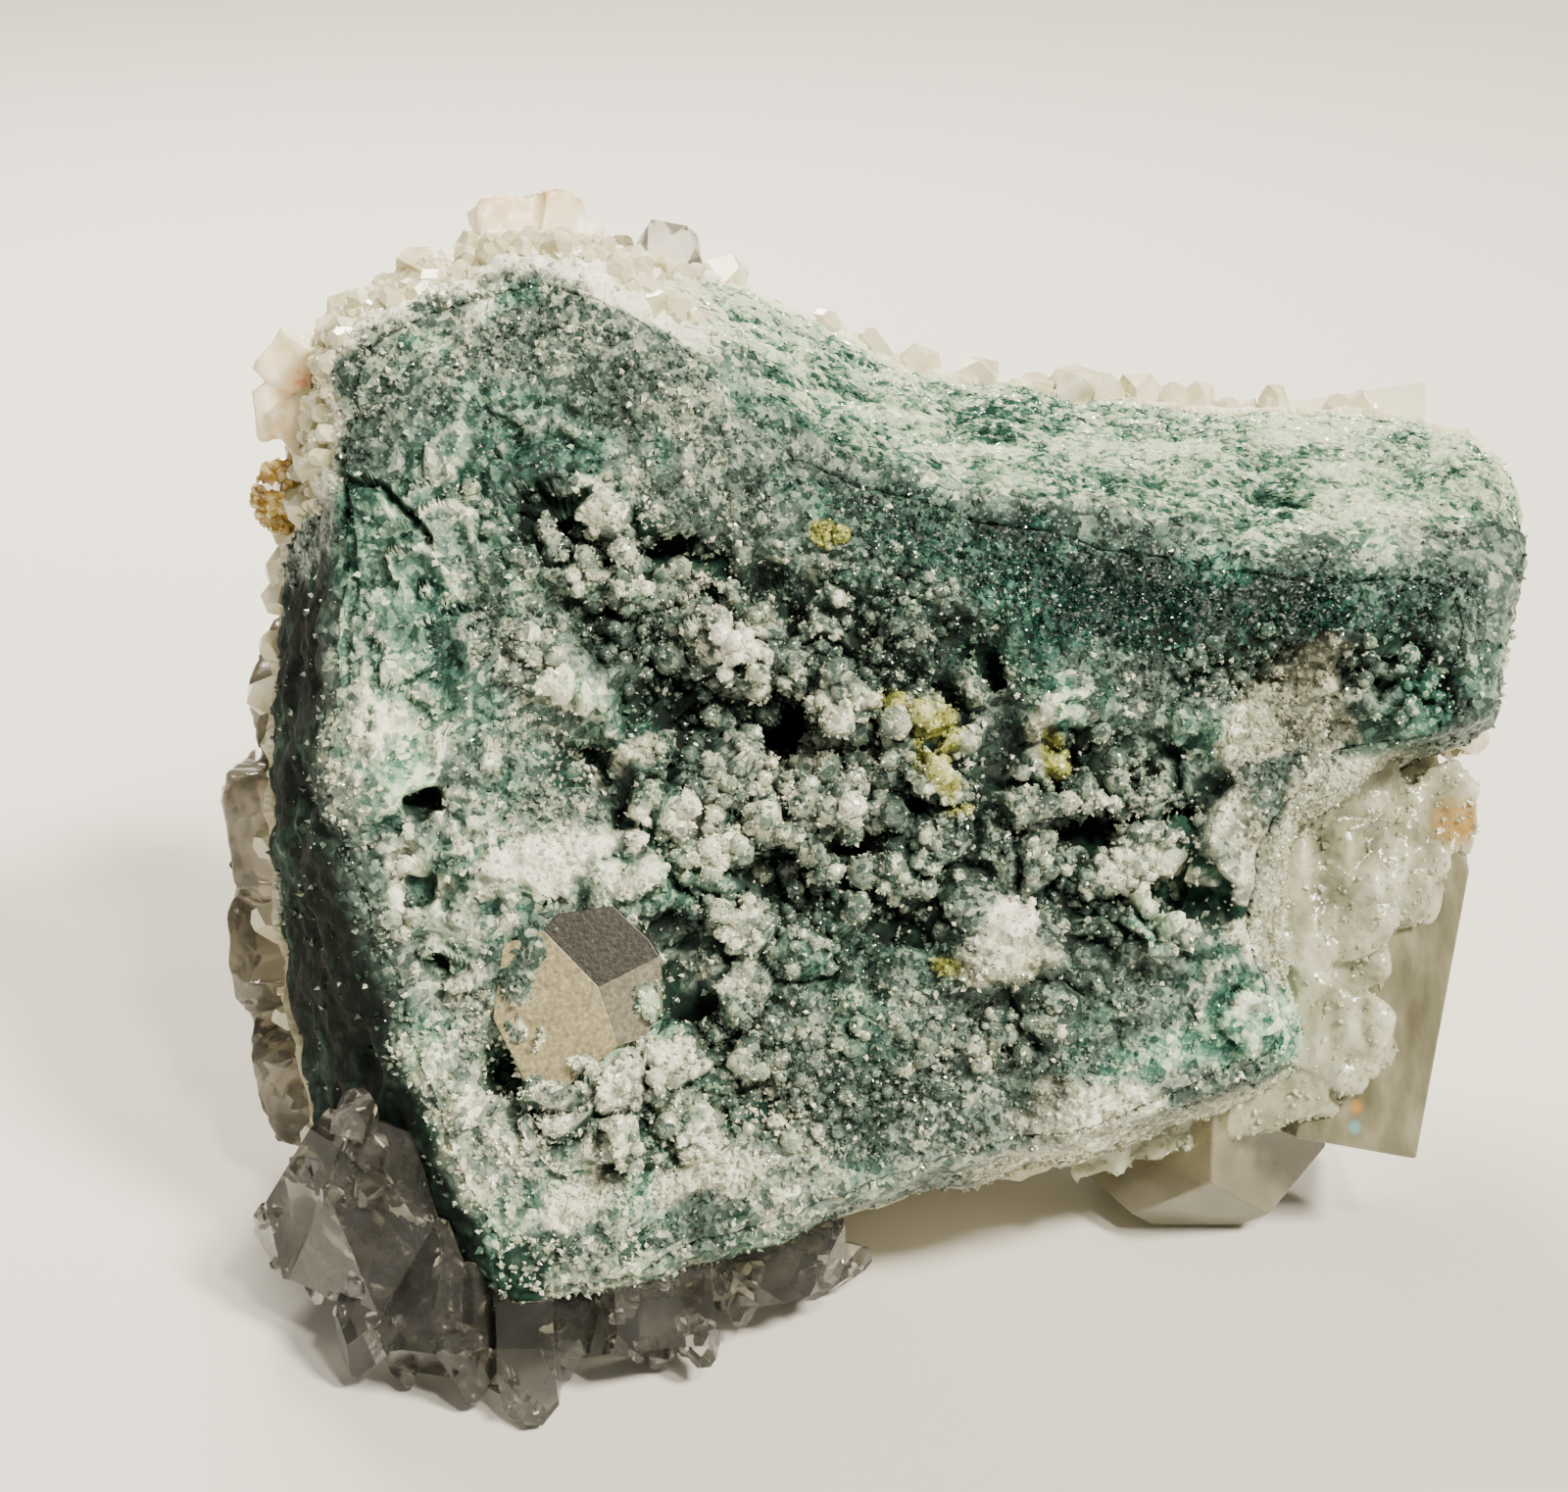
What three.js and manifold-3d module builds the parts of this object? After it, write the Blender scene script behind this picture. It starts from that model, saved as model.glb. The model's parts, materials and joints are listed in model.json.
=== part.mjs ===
// Apophyllite specimen: a chunk of green cavity rock, seen from its broken side, with a cream crust
// and clear apophyllite crystals on its other side. Millimetres, +Z up.
// The stone is laid out as it is looked at: x to the right, y away from the viewer and z up the view.
// At the end it is leaned back by LEAN_DEG, cut off at the ground and set on its resting faces.
import * as THREE from "three";
import { ConvexGeometry } from "three/addons/geometries/ConvexGeometry.js";
import { mergeVertices } from "three/addons/utils/BufferGeometryUtils.js";
import Module from "manifold-3d";

const wasm = await Module();
wasm.setup();

// How the stone stands: its lean, the height of the view's middle above the ground, and where
// the middle of its footprint lies from the view's axis
const LEAN_DEG = 24.5;
const VIEW_HEIGHT = 49.3;
const FOOTPRINT_MIDDLE = { x: 6.64, y: 17.57 };

// Clearance between neighbouring solids
const GAP = 0.35;

// The rock's outline, clockwise from the left: the edge of the broken front face (x, z), the
// widest line behind it (x, z and its depth y), and how softly the front edge is rounded
const ROCK_OUTLINE = [
  [-36.0, 9.5, -43.5, 10.0, 18, 0.10],
  [-35.5, 23.0, -42.0, 23.5, 16, 0.10],
  [-35.5, 33.0, -38.0, 35.0, 12, 0.12],
  [-26.5, 37.5, -27.5, 39.5, 11, 0.16],
  [-20.0, 39.5, -22.0, 43.0, 12, 0.24],
  [-12.5, 36.5, -14.0, 42.5, 15, 0.32],
  [-6.5, 30.5, -5.0, 40.5, 18, 0.34],
  [0.0, 24.5, 4.5, 36.5, 20, 0.36],
  [9.5, 21.0, 13.5, 32.5, 21, 0.36],
  [21.0, 18.5, 23.0, 31.5, 22, 0.36],
  [33.0, 15.5, 36.0, 30.5, 23, 0.36],
  [45.0, 13.0, 51.0, 30.5, 23, 0.36],
  [55.0, 14.0, 61.5, 27.5, 20, 0.34],
  [59.0, 12.0, 64.0, 21.0, 16, 0.30],
  [57.5, 5.5, 62.0, 10.0, 17, 0.20],
  [57.0, 2.0, 61.5, 1.5, 18, 0.20],
  [48.0, -0.5, 53.0, -2.0, 20, 0.20],
  [40.0, -6.5, 44.0, -7.5, 20, 0.20],
  [39.0, -16.0, 43.5, -18.5, 20, 0.20],
  [41.5, -24.5, 46.5, -27.5, 20, 0.20],
  [34.0, -28.0, 37.0, -31.5, 17, 0.14],
  [23.0, -32.0, 24.5, -35.0, 14, 0.12],
  [10.0, -34.5, 10.5, -37.5, 12, 0.12],
  [-3.0, -39.5, -4.0, -42.0, 9, 0.12],
  [-15.0, -43.5, -16.0, -45.5, 7, 0.10],
  [-22.0, -44.5, -25.0, -45.5, 7, 0.08],
  [-25.0, -35.5, -34.0, -41.0, 12, 0.08],
  [-29.5, -25.0, -42.5, -30.5, 19, 0.08],
  [-35.5, -11.0, -44.5, -13.5, 20, 0.10],
  [-37.0, -2.5, -45.0, -1.5, 20, 0.10],
];
const STATIONS = ROCK_OUTLINE.length;
const OUTLINE_SOFTNESS = 0.35;

// The rock's front face is a plane y = level + tiltX x + tiltZ z, and its back is a low dome
const FRONT_FACE = { x: 8, z: 0, level: 3, tiltX: 0.06, tiltZ: 0.05 };
const BACK_DOME = { x: 6, z: -11, depth: 43, edgeDepth: 13, edgeInset: 0.2 };
const EDGE_SOFTNESS = 0.3;

// Places along the profile from the middle of the front face round to the middle of the back
const FRONT_EDGE = 1;
const WAIST = 2;
const BACK_EDGE = 3;
const BACK_MIDDLE = 4;

// Lumps and pits of the front face: x, z, half-width, half-height, turn in degrees, rise
const FRONT_FORMS = [
  [0, 1, 7, 5, -20, -7],
  [-19, 18.5, 4, 3.5, 0, -3.5],
  [-8, 13.5, 4, 4, 0, -3],
  [-17.5, -1, 6, 3, -25, -4],
  [-8, -18, 4, 4, 0, -3],
  [-23, -26, 3, 4.5, 20, -4],
  [-3, -29, 5, 4, 0, -3.5],
  [33, -11.5, 7, 2.5, -20, -5],
  [31, -1.5, 6, 3, 10, -3.5],
  [43, 6, 13, 3.5, 0, -5],
  [16, 8, 4, 4, 0, -2.5],
  [8, -13.5, 5, 4, 0, -2.5],
  [17.5, -16, 8, 6, -10, 4],
  [-16, 5, 8, 3.5, -35, 2.5],
  [-12, -2.5, 5, 5, 0, 2.5],
  [-17, -8.5, 15, 4.5, 5, 2.5],
  [-13, -28.5, 12, 5, 15, 3],
  [3, -6, 5, 5, 0, 2],
  [12, -1, 6, 6, 0, 2],
  [22.5, 4, 6, 6, 0, 2],
  [29.5, -15, 4, 3.5, 0, 2.5],
  [40, -23, 6, 4, 0, 2],
  [-2, 8, 5, 4, 0, 2],
  [-32, -2, 5, 5, 0, 1.5],
  [-27, 20, 12, 14, 0, 1.5],
  [10, 13, 10, 5, -25, 1.5],
];

// Rounded cobbles all over the rock: their spacing and rise
const COBBLES = { spacing: 6.5, rise: 1.6 };

// The flat-faced crystal that sits in the front face: middle, width, height and turn
const INSET_CRYSTAL = { x: -15, z: -20.5, width: 9.5, height: 12.5, turn: 28, proud: 2.6 };

// The crust on the back: where it starts behind the waist, its thickness at the rim and farther
// in, and the extra thickness at the upper left corner
const CRUST = { start: 2.08, rim: 0.8, full: 2.4, corner: 2.6, cornerStation: 2.6, cornerSpread: 1.8 };

// Grids: steps round the outline, steps on the front and on the side band, and the places of the
// lines on the back, which the crust shares
const ROCK_GRID = { round: 76, front: 15, band: 6 };
const BACK_LINES = [CRUST.start, 2.35, 2.8, 3.35, BACK_MIDDLE];

// Remainder that is never negative
function wrap(value, size) {
  return ((value % size) + size) % size;
}

// A closed chain of straight runs with rounded corners, at place u counted in knots
function chain(knots, u, softness) {
  const at = (k) => knots[wrap(k, knots.length)];
  const low = Math.floor(u);
  const near = Math.round(u);
  const straight = at(low) + (at(low + 1) - at(low)) * (u - low);
  const bend = at(near + 1) - 2 * at(near) + at(near - 1);
  const reach = Math.max(0, softness - Math.abs(u - near));
  return straight + (bend * reach * reach) / (4 * softness);
}

// The same for an open chain of points, which keeps its two ends
function openChain(points, s, softness) {
  const last = points.length - 1;
  const low = Math.min(Math.floor(s), last - 1);
  const near = Math.round(s);
  const place = points[low].clone().lerp(points[low + 1], s - low);
  if (near <= 0 || near >= last) return place;
  const bend = points[near + 1].clone().add(points[near - 1]).addScaledVector(points[near], -2);
  const reach = Math.max(0, softness - Math.abs(s - near));
  return place.addScaledVector(bend, (reach * reach) / (4 * softness));
}

// A fixed scatter: a number from 0 to 1 for each whole-number cell
function scatter(i, j, k, kind) {
  const mixed = Math.sin(i * 127.1 + j * 311.7 + k * 74.7 + kind * 53.3) * 4375.85;
  return mixed - Math.floor(mixed);
}

// Rounded cobbles: each cell of a cubic lattice holds one centre, and the rise falls with the
// square of the distance from the nearest one
function cobbles(p, spacing, rise) {
  const cell = [p.x, p.y, p.z].map((c) => Math.floor(c / spacing));
  let nearest = Infinity;
  for (let i = cell[0] - 1; i <= cell[0] + 1; i++) {
    for (let j = cell[1] - 1; j <= cell[1] + 1; j++) {
      for (let k = cell[2] - 1; k <= cell[2] + 1; k++) {
        const dx = (i + scatter(i, j, k, 1)) * spacing - p.x;
        const dy = (j + scatter(i, j, k, 2)) * spacing - p.y;
        const dz = (k + scatter(i, j, k, 3)) * spacing - p.z;
        nearest = Math.min(nearest, dx * dx + dy * dy + dz * dz);
      }
    }
  }
  return rise * (0.45 - nearest / (spacing * spacing));
}

// The lumps and pits of the front face: each is a smooth mound on an oval
function frontRelief(x, z) {
  let rise = 0;
  for (const [cx, cz, halfWidth, halfHeight, turn, height] of FRONT_FORMS) {
    const angle = THREE.MathUtils.degToRad(turn);
    const along = (x - cx) * Math.cos(angle) + (z - cz) * Math.sin(angle);
    const across = (z - cz) * Math.cos(angle) - (x - cx) * Math.sin(angle);
    const q = (along / halfWidth) ** 2 + (across / halfHeight) ** 2;
    if (q < 1) rise += height * (1 - q) ** 2;
  }
  return rise;
}

// Depth of the plain front face
function frontDepth(x, z) {
  return FRONT_FACE.level + FRONT_FACE.tiltX * x + FRONT_FACE.tiltZ * z;
}

// The profile's points at place u of the outline: front middle, front edge, waist, back edge and
// back middle, with the front edge's softness
function profilePoints(u) {
  const [fx, fz, wx, wz, wy, edgeSoftness] = [0, 1, 2, 3, 4, 5].map((c) =>
    chain(ROCK_OUTLINE.map((row) => row[c]), u, OUTLINE_SOFTNESS),
  );
  const inset = 1 - BACK_DOME.edgeInset;
  const points = [
    new THREE.Vector3(FRONT_FACE.x, frontDepth(FRONT_FACE.x, FRONT_FACE.z), FRONT_FACE.z),
    new THREE.Vector3(fx, frontDepth(fx, fz), fz),
    new THREE.Vector3(wx, wy, wz),
    new THREE.Vector3(
      BACK_DOME.x + (wx - BACK_DOME.x) * inset,
      wy + BACK_DOME.edgeDepth,
      BACK_DOME.z + (wz - BACK_DOME.z) * inset,
    ),
    new THREE.Vector3(BACK_DOME.x, BACK_DOME.depth, BACK_DOME.z),
  ];
  return { points, edgeSoftness };
}

// The way out of the rock at (u, s): towards the viewer on the front, sideways at the waist and
// away from the viewer on the back
function outward(points, s) {
  const side = new THREE.Vector3(points[WAIST].x - FRONT_FACE.x, 0, points[WAIST].z - FRONT_FACE.z);
  side.normalize();
  const turn = ((s - WAIST) / (BACK_MIDDLE - WAIST)) * (Math.PI / 2);
  return side.multiplyScalar(Math.cos(turn)).add(new THREE.Vector3(0, Math.sin(turn), 0));
}

// A point of the rock's surface, grown outward by `grown`
function rockPoint(u, s, grown) {
  const { points, edgeSoftness } = profilePoints(u);
  const nearFrontEdge = Math.round(s) === FRONT_EDGE;
  const place = openChain(points, s, nearFrontEdge ? edgeSoftness : EDGE_SOFTNESS);
  const out = outward(points, s);
  const frontShare = THREE.MathUtils.smoothstep(FRONT_EDGE + 0.25 - s, 0, 0.5);
  const rise =
    frontRelief(place.x, place.z) * frontShare + cobbles(place, COBBLES.spacing, COBBLES.rise);
  return place.addScaledVector(out, rise + grown);
}

// Places along the profile of the rock's whole form
function rockLines(grid) {
  const lines = [];
  for (let i = 0; i < grid.front; i++) lines.push((FRONT_EDGE * i) / grid.front);
  for (let i = 0; i < grid.band; i++) lines.push(FRONT_EDGE + ((WAIST - FRONT_EDGE) * i) / grid.band);
  return [...lines, WAIST, ...BACK_LINES];
}

// Triangles between neighbouring rings of points, where a ring may be a single point. Before ring
// `turned` each four-sided patch is split along its other diagonal.
function stitch(rings, turned = 0) {
  const positions = [];
  const starts = rings.map((ring) => {
    const start = positions.length / 3;
    ring.forEach((p) => positions.push(p.x, p.y, p.z));
    return start;
  });
  const index = [];
  for (let r = 0; r + 1 < rings.length; r++) {
    const round = Math.max(rings[r].length, rings[r + 1].length);
    for (let i = 0; i < round; i++) {
      const a = starts[r] + (i % rings[r].length);
      const b = starts[r] + ((i + 1) % rings[r].length);
      const c = starts[r + 1] + ((i + 1) % rings[r + 1].length);
      const d = starts[r + 1] + (i % rings[r + 1].length);
      if (a === b) index.push(a, c, d);
      else if (c === d) index.push(a, b, c);
      else if (r < turned) index.push(a, b, d, b, c, d);
      else index.push(a, b, c, a, c, d);
    }
  }
  const geometry = new THREE.BufferGeometry();
  geometry.setAttribute("position", new THREE.Float32BufferAttribute(positions, 3));
  geometry.setIndex(index);
  return geometry;
}

// One ring of surface points at place s, or its pole
function ring(grid, s, grown) {
  const pole = s === 0 || s === BACK_MIDDLE;
  const points = [];
  for (let i = 0; i < (pole ? 1 : grid.round); i++) {
    const u = (i * STATIONS) / grid.round;
    points.push(rockPoint(u, s, grown(u, s)));
  }
  return points;
}

// A geometry as a manifold-3d solid, and back
function solidOf(geometry) {
  const bare = geometry.clone();
  bare.deleteAttribute("normal");
  bare.deleteAttribute("uv");
  const merged = mergeVertices(bare, 1e-4);
  const mesh = new wasm.Mesh({
    numProp: 3,
    vertProperties: new Float32Array(merged.attributes.position.array),
    triVerts: new Uint32Array(merged.index.array),
  });
  return new wasm.Manifold(mesh);
}

function geometryOf(solid) {
  const mesh = solid.getMesh();
  const geometry = new THREE.BufferGeometry();
  geometry.setAttribute("position", new THREE.Float32BufferAttribute(mesh.vertProperties, 3));
  geometry.setIndex(new THREE.Uint32BufferAttribute(mesh.triVerts, 1));
  return geometry;
}

// The rock's closed form grown outward by a function of (u, s)
function rockForm(grid, grown) {
  return solidOf(stitch(rockLines(grid).map((s) => ring(grid, s, grown))));
}

// Corner points of the convex body inside a list of planes, each a normal and a distance
function cornersInside(planes) {
  const corners = [];
  const cut = new THREE.Vector3();
  for (let i = 0; i < planes.length; i++) {
    for (let j = i + 1; j < planes.length; j++) {
      for (let k = j + 1; k < planes.length; k++) {
        const normals = [planes[i], planes[j], planes[k]].map((plane) => plane.normal);
        const rows = new THREE.Matrix3().set(...normals.flatMap((n) => [n.x, n.y, n.z]));
        if (Math.abs(rows.determinant()) < 1e-6) continue;
        cut.set(planes[i].distance, planes[j].distance, planes[k].distance);
        cut.applyMatrix3(rows.invert());
        if (planes.every((plane) => plane.normal.dot(cut) <= plane.distance + 1e-5)) {
          corners.push(cut.clone());
        }
      }
    }
  }
  return corners;
}

// An apophyllite crystal: a four-sided prism whose pyramid faces cut its corners, with a flat end.
// It grows from `at` along `axis`; `root` is how far it reaches back into what it grows from.
// `grown` moves every face outward.
function crystal(shape) {
  const { at, axis, spin = 0, width, depth = width, length } = shape;
  const { root = 3, taper = 0.5, slope = 0.9, grown = 0 } = shape;
  const plane = (x, y, z, px, py, pz) => {
    const normal = new THREE.Vector3(x, y, z).normalize();
    return { normal, distance: normal.dot(new THREE.Vector3(px, py, pz)) + grown };
  };
  const reach = (taper * width) / 2;
  const planes = [
    plane(1, 0, 0, width / 2, 0, 0),
    plane(-1, 0, 0, -width / 2, 0, 0),
    plane(0, 1, 0, 0, depth / 2, 0),
    plane(0, -1, 0, 0, -depth / 2, 0),
    plane(0, 0, 1, 0, 0, length),
    plane(0, 0, -1, 0, 0, -root),
    plane(1, 1, slope, reach, reach, length),
    plane(-1, 1, slope, -reach, reach, length),
    plane(-1, -1, slope, -reach, -reach, length),
    plane(1, -1, slope, reach, -reach, length),
  ];
  const geometry = new ConvexGeometry(cornersInside(planes));
  const up = new THREE.Vector3(0, 0, 1);
  const tilted = new THREE.Quaternion().setFromUnitVectors(up, new THREE.Vector3(...axis).normalize());
  const spun = new THREE.Quaternion().setFromAxisAngle(up, THREE.MathUtils.degToRad(spin));
  geometry.applyQuaternion(tilted.multiply(spun));
  geometry.translate(...at);
  return solidOf(geometry);
}

function joined(solids) {
  return solids.reduce((all, next) => all.add(next));
}

// A crystal that grows from the back at (u, s), turned from the way out by `lean`
function backCrystal(u, s, lean, shape) {
  const out = outward(profilePoints(u).points, s);
  const foot = rockPoint(u, s, GAP + crustThickness(u, s));
  const axis = out.add(new THREE.Vector3(...lean));
  return crystal({ at: foot.toArray(), axis: axis.toArray(), ...shape });
}

// How thick the crust is at (u, s)
function crustThickness(u, s) {
  const away = wrap(u - CRUST.cornerStation + STATIONS / 2, STATIONS) - STATIONS / 2;
  const corner = CRUST.corner * Math.exp(-((away / CRUST.cornerSpread) ** 2));
  const inward = THREE.MathUtils.smoothstep(s, CRUST.start, BACK_EDGE);
  return CRUST.rim + (CRUST.full - CRUST.rim) * inward + corner;
}

// What a crystal that stands on the rock or its crust is cut by
function rockAndCrust() {
  return rockForm(ROCK_GRID, (u, s) => {
    const onCrust = THREE.MathUtils.smoothstep(s, CRUST.start - 0.12, CRUST.start);
    return GAP + onCrust * (crustThickness(u, s) + GAP);
  });
}

// The rock: its lumpy form with the flat-faced crystal set in the front
function rock() {
  const { x, z, width, height, turn, proud } = INSET_CRYSTAL;
  const inset = crystal({
    at: [x, frontDepth(x, z), z],
    axis: [0.12, -1, 0.1],
    spin: turn,
    width,
    depth: height,
    length: proud,
    root: 5,
    taper: 0.9,
  });
  return rockForm(ROCK_GRID, () => 0).add(inset);
}

// Small crystals and knobs grown on the crust: place (u, s), width, length and lean
function crustKnobs() {
  const knobs = [];
  const rim = [
    [1.7, 2.3, 4.2, 4.2, [-0.3, 0, 0.4]],
    [2.2, 2.25, 3.6, 3.6, [-0.2, -0.2, 0.6]],
    [2.6, 2.3, 4.4, 4.6, [-0.2, 0, 0.5]],
    [3.0, 2.25, 3.4, 3.4, [0.1, -0.2, 0.5]],
    [3.4, 2.3, 4.0, 4.2, [0.2, 0, 0.4]],
    [5.6, 2.25, 2.4, 2.2, [0, 0, 0.4]],
    [6.8, 2.3, 2.6, 2.0, [0.2, 0, 0.2]],
    [8.6, 2.25, 2.4, 1.8, [0, 0, 0.3]],
    [9.4, 2.3, 3.4, 3.4, [0.1, -0.2, 0.3]],
    [9.8, 2.25, 2.8, 2.6, [-0.2, 0, 0.3]],
    [10.3, 2.3, 3.0, 2.6, [0.2, 0, 0.2]],
  ];
  for (const [u, s, width, length, lean] of rim) {
    knobs.push(knob(u, s, lean, { width, length, root: 0.8, spin: u * 37, taper: 0.55 }));
  }
  return knobs.concat(scatteredSmallCrystals());
}

// A small crystal on the crust, with the room that it needs
function knob(u, s, lean, shape) {
  return {
    solid: backCrystal(u, s, lean, shape),
    room: backCrystal(u, s, lean, { ...shape, grown: GAP }),
  };
}

// Small crystals spread evenly over the back by turning through the golden angle
function scatteredSmallCrystals() {
  const count = 26;
  const golden = 0.381966;
  const grown = [];
  for (let i = 0; i < count; i++) {
    const u = wrap(i * golden, 1) * STATIONS;
    const s = 2.35 + 1.45 * Math.sqrt((i + 0.5) / count);
    const width = 3.2 + 3.4 * scatter(i, 1, 0, 4);
    const lean = [scatter(i, 2, 0, 4) - 0.5, scatter(i, 3, 0, 4) - 0.5, scatter(i, 4, 0, 4) - 0.5];
    const length = width * (0.7 + 0.6 * scatter(i, 5, 0, 4));
    const spin = 90 * scatter(i, 6, 0, 4);
    grown.push(knob(u, s, lean, { width, length, root: 1, spin, taper: 0.05 }));
  }
  return grown;
}

// The crust: a bent sheet behind the waist, with the small crystals that have room beside the
// large ones
function crust(crystals) {
  const outer = BACK_LINES.map((s) => ring(ROCK_GRID, s, (u) => GAP + crustThickness(u, s)));
  const inner = BACK_LINES.map((s) => ring(ROCK_GRID, s, () => GAP));
  const sheet = solidOf(stitch([...inner.reverse(), ...outer], inner.length));
  const rockRoom = rockForm(ROCK_GRID, () => GAP);
  const hasRoom = (knob) => crystals.every((other) => knob.room.intersect(other).isEmpty());
  const knobs = crustKnobs().filter(hasRoom).map((knob) => knob.solid.subtract(rockRoom));
  return joined([sheet, ...knobs]);
}

// Crystals grown into one another, one row each: where it grows from, which way, its turn in
// degrees, width, depth, length, root, taper of its end and, where it isn't the usual, slope
function cluster(rows) {
  const solids = rows.map(([at, axis, spin, width, depth, length, root, taper, slope]) =>
    crystal({ at, axis, spin, width, depth, length, root, taper, slope }),
  );
  return joined(solids);
}

// Under the lower left corner of the rock: a few stout crystals with pointed ones in front
const CORNER_CLUSTER = [
  [[-31, 10, -38], [-0.35, -0.1, -1], 20, 15, 15, 9, 6, 0.5],
  [[-37, 11, -37], [-0.5, 0.2, -0.8], 50, 9, 9, 7.5, 5, 0.5],
  [[-33, 5, -45], [-0.3, -0.35, -1], 35, 4.6, 4.6, 6.5, 4, 0.1],
  [[-28, 5, -43], [-0.1, -0.5, -0.9], 15, 7, 7, 7.5, 4, 0.6],
  [[-25, 3, -46], [0, -0.35, -1], 40, 4.2, 4.2, 7, 4, 0.15],
  [[-20.5, 2, -46], [0.05, -0.35, -1], 20, 4.6, 4.6, 8.5, 4, 0.2],
  [[-20, 9, -43], [0, -0.2, -1], 0, 13, 13, 7, 5, 0.7],
  [[-12, 6, -42], [0.1, -0.25, -1], 12, 9, 8, 7.5, 4, 0.8],
  [[-2, 12, -39], [0.25, 0, -1], -15, 11, 11, 7, 5, 0.6],
  [[-9, 12, -40], [0.1, 0, -1], 30, 12, 12, 6, 5, 0.6],
];

// At the lower right: a tall prism, milky blocks in front of it and the pointed foot
const RIGHT_CRYSTALS = [
  [[48.4, 24, -33], [0.19, 0.02, 1], 8, 11, 14, 29, 1.5, 0.7],
  [[46, 22, -3], [-0.1, -1, 0.1], 25, 13, 13, 7, 6, 0.7],
  [[54, 24, -4.5], [0.15, -1, 0.05], 40, 8, 8, 5, 6, 0.7],
  [[45.5, 22, -13], [0.05, -1, 0], 60, 13, 13, 8, 6, 0.6],
  [[43.7, 22, -24], [-0.1, -1, -0.1], 20, 13, 13, 8, 6, 0.6],
  [[39, 20, -29], [-0.2, -0.8, -0.1], 5, 12, 11, 5, 6, 0.7],
  [[29, 19, -32.5], [0, -0.7, -0.4], 10, 7, 6, 4, 6, 0.7],
  [[36.5, 27, -30], [0, 0.12, -1], 45, 17, 17, 12, 5, 0.32, 1.9],
];

// Faces of the crystals that show down the left edge
const LEFT_CRYSTALS = [
  [[-38, 28, 4], [-1, 0.2, 0.1], 30, 12, 12, 8, 5, 0.8],
  [[-39, 29, -7], [-1, 0.1, 0], 70, 12, 12, 10, 5, 0.8],
  [[-39, 30, -18], [-1, 0.15, -0.1], 20, 12, 12, 10, 5, 0.8],
  [[-38, 28, -28], [-1, 0.1, -0.3], 55, 11, 11, 9, 5, 0.7],
];

// Blocky cream crystals on the upper left corner
const CREAM_BLOCKS = [
  [[-24, 17, 42], [-0.15, 0.1, 1], 15, 4.6, 4.6, 4.6, 3, 0.9],
  [[-20.5, 18, 42.5], [0.1, 0.1, 1], 40, 4.6, 4.6, 5, 3, 0.8],
  [[-18, 19, 42.5], [0.3, 0.1, 1], 20, 3.2, 3.2, 3, 3, 0.8],
];

// Two clear crystals on the top edge
const CLEAR_TOP_PAIR = [
  [[-10.5, 20, 41], [0.25, 0, 1], 30, 4.6, 4.6, 4.2, 3, 0.5],
  [[-14, 19.5, 41.5], [-0.25, 0, 1], 10, 2.8, 2.8, 2.6, 3, 0.4],
];

// A flat plate of crystal on the right end of the top edge
const TOP_PLATE = [[[50.5, 28, 29], [0, 0.05, 1], 3, 12.5, 6, 3.2, 2.5, 0.9]];

// A sheaf of thin blades on the left shoulder
function stilbiteSheaf() {
  const blades = [];
  const count = 5;
  for (let i = 0; i < count; i++) {
    const fan = THREE.MathUtils.degToRad(-35 + (95 * i) / (count - 1));
    blades.push(
      crystal({
        at: [-38, 15 + 0.8 * (i % 3), 29.5],
        axis: [-Math.cos(fan), -0.15, Math.sin(fan)],
        spin: 10 * (i % 3),
        width: 4.4,
        depth: 2.2,
        length: 6 + 1.2 * (i % 2),
        root: 2.5,
        taper: 0.6,
      }),
    );
  }
  return joined(blades);
}

// A few short golden crystals below the sheaf
function goldenCrystals() {
  const grains = [];
  for (let i = 0; i < 4; i++) {
    grains.push(
      crystal({
        at: [-42, 19.5, 21.6 - 0.9 * i],
        axis: [-1, -0.5 + 0.25 * i, 0.4 - 0.2 * i],
        spin: 30 * i,
        width: 1.9,
        length: 2.4,
        root: 2,
        taper: 0.3,
      }),
    );
  }
  return joined(grains);
}

// The well-formed crystals of the far side, grown on the crust at (u, s): lean, turn, width,
// length and taper
const FAR_ROOT = 5;
const FAR_CRYSTALS = {
  upper_left_crystal: [[2.6, 3.1, [0.1, 0.3, 0.1], 20, 13, 14, 0.5]],
  middle_crystals: [
    [1.4, 3.65, [-0.1, 0.3, 0.3], 35, 19, 17, 0.4],
    [28.8, 3.5, [-0.3, 0.3, -0.1], 10, 12, 13, 0.3],
  ],
  upper_crystal: [[7.8, 3.2, [0.15, 0.3, 0.3], 10, 14, 15, 0.45]],
  right_back_crystal: [[12.8, 3.2, [0, 0.4, -0.2], 25, 18, 16, 0.4]],
  lower_right_crystal: [[16.4, 3.5, [0.3, 0.5, -0.3], 60, 11, 12, 0.4]],
  back_foot_crystals: [
    [22.0, 3.45, [0.15, 0.4, -0.4], 40, 15, 16, 0.5],
    [23.8, 3.4, [-0.1, 0.5, -0.4], 15, 13, 14, 0.5],
  ],
  left_foot_crystal: [[25.8, 3.0, [-0.2, 0.3, -0.2], 70, 10, 9, 0.4]],
};

function farCrystals(rows) {
  const solids = rows.map(([u, s, lean, spin, width, length, taper]) =>
    backCrystal(u, s, lean, { spin, width, length, taper, root: FAR_ROOT }),
  );
  return joined(solids);
}

// The move from the view's frame to the standing frame
const standing = new THREE.Matrix4()
  .makeTranslation(-FOOTPRINT_MIDDLE.x, -FOOTPRINT_MIDDLE.y, VIEW_HEIGHT)
  .multiply(new THREE.Matrix4().makeRotationX(THREE.MathUtils.degToRad(-LEAN_DEG)));

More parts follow.
